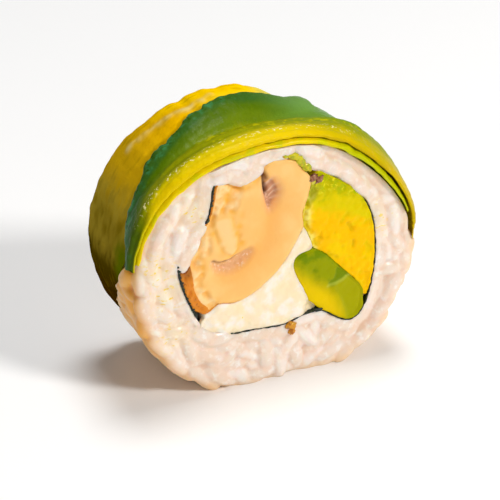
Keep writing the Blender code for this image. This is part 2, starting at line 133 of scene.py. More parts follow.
# Layers of grains on a cut face: how many, how far their tops are below it, and how far apart.
FACE_LAYERS = [(110, (0.0, 0.3), 2.8), (170, (0.35, 0.7), 2.0)]
FACE_TRIES = 6000
FACE_MIDDLE_HEIGHT = 22.0
ROOM_TO_CORE = 0.45
ROOM_UNDER_SLICE = 2.2
ROOM_TO_HOLE = 1.1
NORI_GRAIN_STEP = 3.6
OVER_NORI_HALF_SIZE = (2.5, 1.45, 1.1)
SIDE_GRAINS = 330
SIDE_TRIES = 30000
SIDE_SPACING = 2.2
OUTLINE_REACH = 60.0
OUTLINE_MARKS = 2400
RICE_VOXEL = 0.22
RICE_SHARE_KEPT = 0.46
CORE_SHRINK = 0.6
RING_RECESS = 1.0
COLLAR_WIDTH = 0.9
COLLAR_RECESS = 0.4
UNDER_SLICE_GAP = 0.15

# Grains that lie over the nori's edge: place on the cut face and turn in degrees.
RICE_OVER_NORI = [
    (-9.2, 41.0, 25.0), (-6.6, 40.6, -20.0), (-4.0, 40.2, 50.0), (-8.8, 38.9, 10.0),
    (-6.6, 38.2, -25.0), (-4.4, 38.4, 25.0), (-2.6, 40.8, -10.0), (0.6, 41.0, 0.0),
    (5.4, 40.4, -20.0), (6.4, 38.4, -35.0), (9.4, 36.8, -30.0), (12.4, 34.9, -45.0),
    (14.6, 32.4, -50.0), (-16.6, 29.2, 70.0), (-14.9, 27.4, 55.0), (-15.9, 25.9, 80.0),
    (-14.0, 29.9, 40.0), (-10.4, 10.0, 0.0), (-13.2, 11.4, -30.0),
]

# The mushroom on the cut face.
UPPER_CLEFT = [
    (-2.3, 35.6), (-1.1, 37.0), (-0.2, 36.2), (0.4, 34.6), (-0.2, 33.0), (-1.2, 31.6), (-1.9, 33.4),
]
LOWER_CLEFT = [
    (-11.2, 24.4), (-9.6, 24.4), (-7.8, 24.6), (-5.8, 25.4), (-4.0, 24.9), (-5.6, 23.6),
    (-8.0, 22.6), (-10.4, 23.0),
]
UPPER_CLEFT_FLOOR = 0.3
LOWER_CLEFT_FLOOR = 0.25
CLEFT_SLIT = [(-2.4, 37.9), (-2.3, 36.8), (-1.9, 35.6), (-1.6, 34.4)]
FAN_MIDDLE = (-2.6, 32.4)
FAN_RIBS = 22
CLEFT_LINE = [(-11.0, 24.6), (-9.8, 23.9), (-8.2, 24.0), (-6.6, 24.8), (-4.8, 25.2)]
CLEFT_HOLLOW = [
    (-11.4, 24.6), (-9.8, 23.8), (-8.0, 24.0), (-6.0, 24.9), (-4.6, 25.4), (-4.2, 24.4), (-5.8, 22.8),
    (-8.0, 21.9), (-10.4, 22.5),
]
LUMP_BEDS = [
    [
        (-11.0, 41.0), (-9.9, 38.6), (-8.6, 37.9), (-7.0, 37.4), (-5.0, 37.4), (-3.0, 38.6), (-2.0, 40.0),
        (-3.0, 42.0), (-7.0, 42.4),
    ],
    [(-17.8, 30.6), (-13.4, 30.8), (-13.0, 28.6), (-14.2, 26.2), (-15.6, 25.2), (-18.0, 25.6)],
]
BED_DEPTH = 0.9
CHUNK = [
    (-10.8, 31.4), (-9.4, 32.0), (-8.0, 31.5), (-7.5, 29.8), (-7.0, 27.6), (-7.1, 26.2),
    (-8.0, 25.2), (-9.4, 26.6), (-10.3, 29.0),
]
CRUST = [
    (-16.9, 25.6), (-15.2, 25.4), (-14.7, 23.0), (-14.3, 20.3), (-13.3, 17.8), (-12.0, 16.4),
    (-11.9, 14.4), (-13.6, 14.6), (-14.8, 17.6), (-16.4, 21.0), (-17.2, 23.4),
]
BATTER = [
    (-11.6, 38.0), (-8.8, 38.4), (-6.2, 36.8), (-6.6, 34.6), (-7.4, 33.0), (-10.6, 32.6),
    (-11.4, 29.6), (-11.6, 26.4), (-13.2, 25.4), (-12.9, 22.5), (-13.4, 21.0), (-12.4, 19.2),
    (-10.6, 17.2), (-9.0, 13.6), (-10.6, 14.0), (-12.4, 15.8), (-14.4, 19.8), (-15.0, 24.6),
    (-17.0, 26.0), (-15.8, 30.0), (-13.0, 31.6), (-11.6, 34.6),
]
MUSHROOM_SEAMS = [
    [(-10.5, 33.7), (-8.9, 33.1), (-7.5, 32.6), (-5.8, 31.8)],
    [(-12.8, 31.3), (-10.8, 32.3), (-9.4, 32.7), (-8.4, 32.7)],
    [(-7.7, 31.4), (-7.5, 29.8), (-6.6, 28.4), (-6.9, 26.6)],
    [(-10.9, 31.4), (-10.3, 29.0), (-9.4, 26.8)],
    [(-13.6, 26.2), (-13.0, 25.1), (-12.8, 22.5), (-13.3, 21.1), (-12.4, 19.4), (-10.7, 17.5)],
    [(-7.4, 36.8), (-5.8, 36.4), (-4.2, 36.9), (-2.8, 38.2)],
]
# The line between stem and cap where the surface is sunk and painted shade lies.
MUSHROOM_FOLD = [(-0.6, 32.4), (-1.0, 30.4), (-1.7, 27.6), (-3.1, 25.2), (-5.8, 23.0), (-9.0, 22.0)]
NOTCH = [(-2.9, 39.3), (-2.3, 38.2), (-1.8, 37.2)]
AMBER_SPOTS = [(-8.2, 35.7), (-8.4, 34.8), (-6.6, 30.0), (-7.0, 28.8), (-10.9, 29.6), (-6.2, 26.9)]

# The cheese on the cut face.
CHEESE_SMEAR = [
    (-12.7, 14.0), (-11.4, 14.9), (-8.6, 15.2), (-6.4, 13.4), (-6.8, 11.4), (-8.8, 10.6),
    (-11.0, 10.9), (-12.9, 12.2),
]
SMEAR_DEPTH = 1.3
CHEESE_CORNER = [(2.6, 12.6), (5.8, 13.6), (7.2, 12.1), (5.4, 11.4), (2.6, 11.0)]

# The avocado chunks on the cut face.
LIME_TOP = [
    (3.6, 36.4), (8.0, 37.4), (12.0, 35.6), (15.6, 32.0), (16.6, 29.4), (14.6, 30.4), (11.6, 31.8),
    (8.2, 32.2), (4.0, 32.0),
]
OLIVE_CORNER = [(4.8, 36.0), (6.2, 34.8), (6.9, 32.6), (5.9, 31.4), (4.4, 32.0)]
CRUMBLY_EDGE = [(5.8, 34.2), (5.0, 31.6), (5.0, 29.6), (4.9, 27.6), (5.4, 25.6), (6.6, 23.6)]
LARGE_TIP = [(12.6, 19.0), (16.6, 19.4), (16.9, 16.4), (16.4, 12.6), (15.9, 12.2), (15.6, 14.6)]
LARGE_CREASES = [
    [(7.6, 24.6), (9.0, 24.3), (10.2, 24.9)],
    [(9.1, 21.4), (10.6, 20.3)],
    [(6.9, 32.6), (6.0, 31.8), (5.2, 31.4)],
    [(12.4, 26.4), (13.6, 24.2), (13.8, 21.6)],
]

SMALL_YELLOW = [
    (2.6, 20.4), (4.2, 18.8), (6.2, 17.2), (9.8, 14.4), (11.2, 12.2), (12.2, 8.6), (9.6, 8.2),
    (6.4, 10.8), (4.0, 14.4),
]
SMALL_WEDGE = [(10.9, 18.4), (13.0, 16.9), (11.7, 15.8), (9.8, 15.2), (9.4, 15.9), (10.4, 16.8)]
SMALL_CREASE = [(9.2, 15.4), (11.6, 15.7), (13.2, 16.8)]
SMALL_RIGHT = [(10.8, 15.2), (13.4, 16.4), (16.0, 13.4), (15.8, 9.8), (13.6, 8.0), (12.2, 11.6)]

# Loose bits on the front face: place on the face, half sizes along X, Y and Z, and turn.
CRUMB = [(2.6, 9.5, 0.95, 0.5, 0.75, 20.0), (2.7, 8.5, 0.6, 0.5, 0.55, 0.0)]
SHRED = [(6.2, 35.7, 0.9, 0.45, 0.6, -20.0), (7.3, 35.2, 0.8, 0.45, 0.45, -30.0)]
GREEN_SCRAPS = [
    (1.2, 40.6, 0.9, 0.4, 0.4, 10.0), (2.8, 40.2, 1.1, 0.5, 0.6, 20.0),
    (4.0, 39.1, 1.2, 0.5, 0.7, 50.0), (5.0, 37.9, 1.0, 0.5, 0.7, 40.0),
]
CRUMB_COLOURS = [(0.68, 0.30, 0.02), (0.42, 0.13, 0.01), (0.8, 0.55, 0.12)]
SHRED_COLOURS = [(0.36, 0.16, 0.08), (0.20, 0.06, 0.03), (0.6, 0.4, 0.25)]
GREEN_SCRAP_COLOURS = [(0.62, 0.56, 0.01), (0.42, 0.44, 0.01), (0.6, 0.22, 0.02)]
BIT_SUNK = 0.3
# Yellow smudges on the rice of the front face.
SMUDGES = [(-20.5, 25.0), (-19.0, 20.0), (-17.5, 12.5), (15.8, 26.8), (17.4, 25.2), (-14.0, 34.0)]

# The camera's place, in metres, gives the photo's view.
CAMERA_TARGET = Vector((0.0002, 0.0, 0.0187))
CAMERA_DISTANCE = 0.36
CAMERA_AZIMUTH = math.radians(-24.5)
CAMERA_ELEVATION = math.radians(29.0)
PHOTO_WIDTH = 500
FOCAL_PIXELS = 2196
SENSOR = 36.0

# Round area lights: name, place and width in metres, power in watts, and colour.
LIGHTS = [
    ("key", (0.35, -0.55, 0.55), 0.16, 4.0, (1.0, 0.98, 0.95)),
    ("overhead", (0.1, 0.1, 0.75), 0.30, 3.2, (1.0, 1.0, 1.0)),
    ("fill", (-0.3, -0.7, 0.35), 0.5, 0.7, (1.0, 0.98, 0.95)),
]
SKY_STRENGTH = 0.16
FLOOR_SIZE = 6.0

COAT_ROUGHNESS = 0.1
CHUNK_FINISH = {"shine": 0.03, "coat": 0.04, "subsurface": 0.1, "reach": 1.2}
SUBSURFACE_RADIUS = (1.0, 0.6, 0.35)
FILLING_VOXEL = 0.25
FILLING_GROWS = 0.2
NORI_GROWS = 0.38
END_CROWDING = 0.3

# How far in from its front edge the upper slice turns green, along the slice.
GREEN_REACH = [
    (-31.0, 2.4), (-27.0, 3.6), (-20.0, 6.2), (-11.0, 9.4), (-2.0, 13.0), (7.0, 13.0), (16.0, 13.0),
    (25.0, 16.0), (33.0, 22.0),
]
# Colours of the upper slice from its front edge, in the middle, at the left and at the right. At the left
# the green is darker, partly as painted shade on the roll's shaded left side.
GREEN_STOPS = [
    (0.0, (0.76, 0.54, 0.0)), (0.14, (0.70, 0.54, 0.0)), (0.28, (0.42, 0.39, 0.0)),
    (0.4, (0.26, 0.28, 0.0)), (0.56, (0.26, 0.28, 0.0)), (0.7, (0.13, 0.20, 0.003)),
    (0.86, (0.08, 0.15, 0.0)), (1.0, (0.04, 0.12, 0.01)),
]
LEFT_STOPS = [
    (0.0, (0.60, 0.50, 0.0)), (0.1, (0.32, 0.31, 0.0)), (0.22, (0.09, 0.14, 0.0)),
    (0.6, (0.06, 0.11, 0.004)), (1.0, (0.05, 0.13, 0.04)),
]
PALE_STOPS = [
    (0.0, (0.60, 0.42, 0.0)), (0.12, (0.48, 0.39, 0.0)), (0.25, (0.28, 0.30, 0.0)),
    (0.5, (0.17, 0.27, 0.01)), (0.8, (0.14, 0.28, 0.03)), (1.0, (0.15, 0.30, 0.06)),
]
# Colours of the back slice, from its left end. The blackish brown at the left end is partly painted shade
# on the roll's shaded left side.
GOLD_STOPS = [
    (0.0, (0.05, 0.012, 0.0)), (0.12, (0.045, 0.017, 0.0)), (0.24, (0.07, 0.044, 0.0)),
    (0.36, (0.23, 0.155, 0.004)), (0.5, (0.64, 0.38, 0.004)), (0.68, (0.80, 0.44, 0.0)),
    (0.86, (0.86, 0.60, 0.01)), (1.0, (0.62, 0.60, 0.16)),
]
# Marks on the slices: a painted highlight and a patch of painted light on the back slice, and grooves on
# the upper slice.
STREAK = [(-17.5, 6.0), (-14.0, 5.2), (-11.0, 5.0), (-8.0, 4.6), (-5.0, 4.9), (-3.4, 5.6)]
GLOW = [(-12.0, 7.4), (-5.0, 6.0), (0.0, 5.0), (4.0, 6.0), (2.0, 10.6), (-8.0, 10.8)]
GROOVES = [
    [(-9.0, -4.6), (-4.0, -4.2), (2.0, -4.6), (9.0, -5.4), (16.0, -6.0)],
    [(-16.0, -6.8), (-8.0, -6.4), (0.0, -5.8), (8.0, -6.6)],
]


def spline_point(before, start, end, after, t):
    """The point at t between start and end on the smooth curve through all four."""
    return tuple(
        0.5 * (2 * b + (c - a) * t + (2 * a - 5 * b + 4 * c - d) * t**2 + (3 * b - a - 3 * c + d) * t**3)
        for a, b, c, d in zip(before, start, end, after)
    )


def smooth_loop(points, steps):
    """A closed smooth curve through the points, with this many steps from each to the next."""
    count = len(points)
    loop = []
    for i in range(count):
        corners = [points[(i + k) % count] for k in (-1, 0, 1, 2)]
        loop += [spline_point(*corners, j / steps) for j in range(steps)]
    return loop


def smooth_line(points, steps):
    """An open smooth curve through the points, ends included."""
    padded = [points[0], *points, points[-1]]
    line = []
    for i in range(len(points) - 1):
        line += [spline_point(*padded[i : i + 4], j / steps) for j in range(steps)]
    return [*line, points[-1]]


def pressed_flat(loop):
    return [(x, max(z, 0.0)) for x, z in loop]


def grown(loop, distance):
    """The loop with each point moved outwards by this distance, or inwards if it is negative."""
    area = sum(a[0] * b[1] - b[0] * a[1] for a, b in zip(loop, loop[1:] + loop[:1]))
    outwards = distance if area > 0 else -distance
    moved = []
    for i, (x, z) in enumerate(loop):
        before = loop[i - 1]
        after = loop[(i + 1) % len(loop)]
        way = Vector((after[0] - before[0], after[1] - before[1])).normalized()
        moved.append((x + way.y * outwards, z - way.x * outwards))
    return moved


def smoothstep(low, high, values):
    t = np.clip((values - low) / (high - low), 0.0, 1.0)
    return t * t * (3.0 - 2.0 * t)


def away_from(x, z, line):
    """The distance from each place to a line through these points."""
    nearest = np.full(len(x), 1e9)
    for (x0, z0), (x1, z1) in zip(line, line[1:]):
        dx, dz = x1 - x0, z1 - z0
        t = np.clip(((x - x0) * dx + (z - z0) * dz) / (dx * dx + dz * dz), 0.0, 1.0)
        nearest = np.minimum(nearest, np.hypot(x - x0 - t * dx, z - z0 - t * dz))
    return nearest


def depth_inside(x, z, outline):
    """How far each place is inside the closed outline, below zero outside it."""
    loop = smooth_loop(outline, 4)
    inside = np.zeros(len(x), bool)
    for (x0, z0), (x1, z1) in zip(loop, loop[1:] + loop[:1]):
        if z0 != z1:
            inside ^= ((z0 > z) != (z1 > z)) & (x < x0 + (x1 - x0) * (z - z0) / (z1 - z0))
    away = away_from(x, z, loop + loop[:1])
    return np.where(inside, away, -away)


def within(x, z, outline, soft):
    """1 inside the outline and 0 outside it, over an edge this soft."""
    return smoothstep(-soft, soft, depth_inside(x, z, outline))


def along_line(x, z, line, width):
    """1 on the line and fading out beside it."""
    return np.exp(-((away_from(x, z, smooth_line(line, 4)) / width) ** 2))


def lumps(places, size, seed):
    """Smooth noise from -1 to 1, with lumps of this size in millimetres."""
    shift = Vector((seed * 17.3, seed * 5.1, seed * 29.7))
    return np.array([noise.noise(Vector(p) / size + shift) for p in places])


def wobble(along, size, seed):
    """Smooth noise from -1 to 1 along a line."""
    return np.array([noise.noise(Vector((a / size, seed * 3.7, 0.0))) for a in along])


def taper(y):
    """How much smaller the roll is there than at its front."""
    return 1.0 - BACK_TAPER * (y - FRONT) / LENGTH


class Surface:
    """A mesh's points and normals in millimetres, as if the roll had no taper."""

    def __init__(self, piece):
        self.piece = piece
        mesh = piece.data
        count = len(mesh.vertices)
        points = np.empty(count * 3)
        mesh.vertices.foreach_get("co", points)
        self.points = points.reshape(-1, 3) / MM
        normals = np.empty(count * 3)
        mesh.vertices.foreach_get("normal", normals)
        self.normals = normals.reshape(-1, 3)
        self.x, self.y, self.z = self.points.T
        self.face = smoothstep(0.35, 0.85, np.abs(self.normals[:, 1]))
        self.wall = 1.0 - self.face

    def sink(self, depth):
        """Pushes the two cut faces in by this much."""
        self.y += np.sign(-self.y) * self.face * depth

    def swell(self, height):
        """Moves the surface out along its normals by this much."""
        for k in range(3):
            self.points[:, k] += self.normals[:, k] * height

    def within(self, outline, soft):
        return within(self.x, self.z, outline, soft)

    def on_line(self, line, width):
        return along_line(self.x, self.z, line, width)

    def lumps(self, *sizes_and_seeds):
        return [lumps(self.points, size, seed) for size, seed in sizes_and_seeds]

    def paint(self, **masks):
        """Keeps masks in the mesh by name, for its material."""
        for name, values in masks.items():
            layer = self.piece.data.attributes.new(name, "FLOAT", "POINT")
            layer.data.foreach_set("value", np.asarray(values, np.float32))

    def done(self):
        scale = taper(self.y)
        self.x *= scale
        self.z *= scale
        self.piece.data.vertices.foreach_set("co", (self.points * MM).ravel())
        self.piece.data.update()
        self.piece.data.shade_smooth()


def link(piece):
    bpy.context.scene.collection.objects.link(piece)
    return piece


def with_modifier(piece, kind, **settings):
    """The piece with this modifier applied."""
    tool = piece.modifiers.new(kind, kind)
    for name, value in settings.items():
        setattr(tool, name, value)
    bpy.context.view_layer.update()
    result = bpy.data.meshes.new_from_object(piece.evaluated_get(bpy.context.evaluated_depsgraph_get()))
    piece.modifiers.clear()
    piece.data = result
    return piece


def remeshed(piece, voxel, smooth_steps):
    with_modifier(piece, "REMESH", mode="VOXEL", voxel_size=voxel * MM, adaptivity=0.0)
    return with_modifier(piece, "SMOOTH", factor=0.5, iterations=smooth_steps)


def joined(name, pieces):
    """One linked object made of these."""
    mesh = bmesh.new()
    for piece in pieces:
        mesh.from_mesh(piece.data)
        bpy.data.objects.remove(piece)
    data = bpy.data.meshes.new(name)
    mesh.to_mesh(data)
    mesh.free()
    return link(bpy.data.objects.new(name, data))


def prism(name, loops, low, high):
    """A filled outline, standing on edge, from low to high along Y. Loops after the first are holes."""
    flat = bpy.data.curves.new(name, "CURVE")
    flat.dimensions = "2D"
    flat.fill_mode = "BOTH"
    flat.extrude = (high - low) / 2
    for loop in loops:
        spline = flat.splines.new("POLY")
        spline.points.add(len(loop) - 1)
        for point, (x, z) in zip(spline.points, loop):
            point.co = (x, z, 0.0, 1.0)
        spline.use_cyclic_u = True
    drawn = link(bpy.data.objects.new(name, flat))
    drawn.rotation_euler.x = math.pi / 2
    drawn.location.y = (high + low) / 2 * MM
    drawn.scale = (MM, MM, MM)
    bpy.context.view_layer.update()
    solid = bpy.data.meshes.new_from_object(drawn.evaluated_get(bpy.context.evaluated_depsgraph_get()))
    solid.transform(drawn.matrix_world)
    bpy.data.objects.remove(drawn)
    welded = bmesh.new()
    welded.from_mesh(solid)
    bmesh.ops.remove_doubles(welded, verts=welded.verts, dist=WELD)
    bmesh.ops.recalc_face_normals(welded, faces=welded.faces)
    welded.to_mesh(solid)
    welded.free()
    return bpy.data.objects.new(name, solid)


def node_copy(node):
    """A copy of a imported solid's mesh, with the roll's taper taken out."""
    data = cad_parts[node].data.copy()
    data.materials.clear()
    for vertex in data.vertices:
        scale = taper(vertex.co.y / MM)
        vertex.co.x /= scale
        vertex.co.z /= scale
    return bpy.data.objects.new(node + "_copy", data)


def loft(name, stations, sides, place):
    """A closed skin whose points are place(station, around), both from 0 to 1."""
    mesh = bmesh.new()
    bmesh.ops.create_grid(mesh, x_segments=stations, y_segments=sides, size=0.5)
    grid = np.array([vertex.co for vertex in mesh.verts])
    points = place(grid[:, 0] + 0.5, grid[:, 1] + 0.5) * MM
    for vertex, point in zip(mesh.verts, points):
        vertex.co = point
    bmesh.ops.remove_doubles(mesh, verts=mesh.verts, dist=WELD)
    bmesh.ops.holes_fill(mesh, edges=[edge for edge in mesh.edges if edge.is_boundary])
    bmesh.ops.recalc_face_normals(mesh, faces=mesh.faces)
    data = bpy.data.meshes.new(name)
    mesh.to_mesh(data)
    mesh.free()
    return link(bpy.data.objects.new(name, data))


class Outline:
    """The rice core's outline, measured along from its highest point: right is above zero."""

    def __init__(self, loop):
        top = max(range(len(loop)), key=lambda i: loop[i][1])
        points = np.array(loop[top:] + loop[: top + 1])
        steps = np.hypot(*np.diff(points, axis=0).T)
        marks = np.concatenate([[0.0], np.cumsum(steps)])
        self.length = marks[-1]
        self.marks = np.concatenate([marks[:-1] - self.length, marks])
        self.points = np.concatenate([points[:-1], points])

    def at(self, along):
        """The points there and the directions that point out of the rice, both as columns X and Z."""
        step = 0.6
        place, before, after = (
            np.stack([np.interp(along + shift, self.marks, self.points[:, k]) for k in (0, 1)], axis=1)
            for shift in (0.0, -step, step)
        )
        way = (after - before) / np.hypot(*(after - before).T)[:, None]
        return place, np.stack([-way[:, 1], way[:, 0]], axis=1)


class Rows:
    """A slice's front edge, back edge, thickness and crown, anywhere along it."""

    def __init__(self, rows):
        self.start = rows[0][0]
        self.end = rows[-1][0]
        self.table = np.array(smooth_line(rows, 12)).T

    def at(self, along):
        return [np.interp(along, self.table[0], column) for column in self.table[1:]]

    def top(self, along, depth):
        """How high the slice stands over the rice core, or zero beside it."""
        front, back, thickness, crown = self.at(along)
        across = (depth - (front + back) / 2) / ((back - front) / 2)
        crowned = thickness * (1.0 + crown * smoothstep(0.0, CROWN_WIDTH, depth - front))
        height = SLICE_GAP + crowned * (0.5 + 0.5 * np.sqrt(np.clip(1.0 - across**4, 0.0, 1.0)))
        beside = (along < self.start) | (along > self.end) | (np.abs(across) >= 1.0)
        return np.where(beside, 0.0, height)


def lies_at(under, along, depth):
    """How high over the rice core a slice's underside is. It bridges down from the slices under it."""
    highest = np.zeros(len(along))
    steps = np.linspace(-1.0, 1.0, 2 * BRIDGE_STEPS + 1)
    for rows, step, side in itertools.product(under, steps, steps):
        drop = 1.0 - smoothstep(BRIDGE_TOP, 1.0, math.hypot(step, side))
        if drop > 0.0:
            reached = rows.top(along + step * BRIDGE_ALONG, depth + side * BRIDGE_ACROSS)
            highest = np.maximum(highest, reached * drop)
    return highest + SLICE_GAP


class Look:
    """A material built up in layers, each laid over the last where its mask is."""

    def __init__(self, name, base, roughness, shine=0.25, coat=0.0, subsurface=0.0, reach=1.0):
        self.material = bpy.data.materials.new(name)
        self.material.use_nodes = True
        self.nodes = self.material.node_tree.nodes
        self.links = self.material.node_tree.links
        self.shader = self.nodes["Principled BSDF"]
        settings = {
            "Specular IOR Level": shine,
            "Coat Weight": coat,
            "Coat Roughness": COAT_ROUGHNESS,
            "Subsurface Weight": subsurface,
            "Subsurface Radius": SUBSURFACE_RADIUS,
            "Subsurface Scale": reach * MM,
        }
        for socket, value in settings.items():
            self.shader.inputs[socket].default_value = value
        self.where = self.nodes.new("ShaderNodeTexCoord").outputs["Object"]
        self.colour = None
        self.lay(base)
        self.roughness(*roughness)

    def node(self, kind, values=(), inputs=()):
        made = self.nodes.new(kind)
        for name, value in values:
            setattr(made, name, value)
        for name, value in inputs:
            if isinstance(value, bpy.types.NodeSocket):
                self.links.new(value, made.inputs[name])
            else:
                made.inputs[name].default_value = value
        return made

    def noise(self, size, detail=3.0, stretch=(1.0, 1.0, 1.0)):
        """Noise from 0 to 1, with lumps of this size in millimetres."""
        spread = self.node("ShaderNodeMapping", inputs=[("Vector", self.where), ("Scale", stretch)])
        inputs = [("Vector", spread.outputs[0]), ("Scale", 1.0 / (size * MM)), ("Detail", detail)]
        return self.node("ShaderNodeTexNoise", inputs=inputs).outputs["Fac"]

    def mask(self, name):
        return self.node("ShaderNodeAttribute", [("attribute_name", name)]).outputs["Fac"]

    def math(self, operation, first, second):
        return self.node("ShaderNodeMath", [("operation", operation)], [(0, first), (1, second)]).outputs[0]

    def between(self, value, low, high):
        """0 below low and 1 above high."""
        inputs = [("Value", value), ("From Min", low), ("From Max", high)]
        return self.node("ShaderNodeMapRange", [("interpolation_type", "SMOOTHSTEP")], inputs).outputs[0]

    def patches(self, low, high, size, detail=3.0, stretch=(1.0, 1.0, 1.0)):
        """Noise as patches: 0 where it is below low and 1 where it is above high."""
        return self.between(self.noise(size, detail, stretch), low, high)

    def broken(self, mask, size, amount, soft=0.15):
        """A painted mask whose edge is broken up by noise."""
        ragged = self.math("MULTIPLY", self.math("SUBTRACT", self.noise(size, 5.0), 0.5), amount)
        return self.between(self.math("ADD", self.mask(mask), ragged), 0.5 - soft, 0.5 + soft)

    def lay(self, colour, where=1.0, share=None):
        """Lays a colour, or a socket of colours, over what is there.

        where is a number, a socket or a painted mask's name. It is multiplied by share.
        """
        if isinstance(where, str):
            where = self.mask(where)
        if share is not None:
            where = self.math("MULTIPLY", where, share)
        top = colour if isinstance(colour, bpy.types.NodeSocket) else (*colour, 1.0)
        below = top if self.colour is None else self.colour
        made = self.node("ShaderNodeMix", [("data_type", "RGBA")], [(0, where), (6, below), (7, top)])
        self.colour = made.outputs[2]
        self.links.new(self.colour, self.shader.inputs["Base Color"])

    def ramp(self, mask, stops):
        """Colours by a painted mask: stops are (value, colour)."""
        made = self.node("ShaderNodeValToRGB", inputs=[(0, self.mask(mask))])
        bar = made.color_ramp
        bar.interpolation = "EASE"
        while len(bar.elements) < len(stops):
            bar.elements.new(1.0)
        for element, (position, colour) in zip(bar.elements, stops):
            element.position = position
            element.color = (*colour, 1.0)
        return made.outputs[0]

    def roughness(self, low, high, size=1.2):
        inputs = [("Value", self.noise(size)), ("To Min", low), ("To Max", high)]
        spread = self.node("ShaderNodeMapRange", inputs=inputs)
        self.links.new(spread.outputs[0], self.shader.inputs["Roughness"])

    def bump(self, size, detail, distance):
        """Fine relief from noise: its lumps' size and its height are in millimetres."""
        inputs = [("Height", self.noise(size, detail)), ("Distance", distance * MM)]
        made = self.node("ShaderNodeBump", inputs=inputs)
        self.links.new(made.outputs[0], self.shader.inputs["Normal"])


def dress(piece, look, slot, *nodes):
    """Gives the piece its material and its place on the roll's one body, and hides the nodes it stands for.
    """
    piece.data.materials.clear()
    piece.data.materials.append(look.material)
    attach(piece, "root")
    if nodes:
        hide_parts(*nodes)


def make_camera():
    back = Vector((
        math.sin(CAMERA_AZIMUTH) * math.cos(CAMERA_ELEVATION),
        -math.cos(CAMERA_AZIMUTH) * math.cos(CAMERA_ELEVATION),
        math.sin(CAMERA_ELEVATION),
    ))
    data = bpy.data.cameras.new("camera")
    data.sensor_width = SENSOR
    data.lens = FOCAL_PIXELS / PHOTO_WIDTH * SENSOR
    data.clip_start = 0.01
    camera = link(bpy.data.objects.new("camera", data))
    camera.location = CAMERA_TARGET + back * CAMERA_DISTANCE
    camera.rotation_euler = back.to_track_quat("Z", "Y").to_euler()
    bpy.context.scene.camera = camera


def area_light(name, place, size, power, colour):
    data = bpy.data.lights.new(name, "AREA")
    data.shape = "DISK"
    data.size = size
    data.energy = power
    data.color = colour
    light = link(bpy.data.objects.new(name, data))
    light.location = place
    light.rotation_euler = (Vector(place) - CAMERA_TARGET).to_track_quat("Z", "Y").to_euler()


def make_stage():
    """A plain pale floor and soft studio light, brighter from the right."""
    bpy.ops.mesh.primitive_plane_add(size=FLOOR_SIZE)
    floor = bpy.context.object
    floor.name = "floor"
    look = Look("floor", (0.98, 0.98, 0.98), (0.6, 0.7))
    floor.data.materials.append(look.material)
    for light in LIGHTS:
        area_light(*light)
    world = bpy.data.worlds.new("studio")
    bpy.context.scene.world = world
    world.use_nodes = True
    sky = world.node_tree.nodes["Background"]
    sky.inputs["Color"].default_value = (1.0, 1.0, 1.0, 1.0)
    sky.inputs["Strength"].default_value = SKY_STRENGTH
    bpy.context.scene.view_settings.view_transform = "Standard"


def is_covered(rows, along, depth, margin):
    near = min(max(along, rows.start), rows.end)
    front, back = rows.at(near)[:2]
    return abs(along - near) < margin and front - margin < depth < back + margin


def along_of(outline, x, z):
    """The place along the outline nearest to each point."""
    marks = np.linspace(-OUTLINE_REACH, OUTLINE_REACH, OUTLINE_MARKS)
    points, _ = outline.at(marks)
    tree = kdtree.KDTree(len(marks))
    for index, (px, pz) in enumerate(points):
        tree.insert((px, 0.0, pz), index)
    tree.balance()
    return np.array([marks[tree.find((px, 0.0, pz))[1]] for px, pz in zip(x, z)])


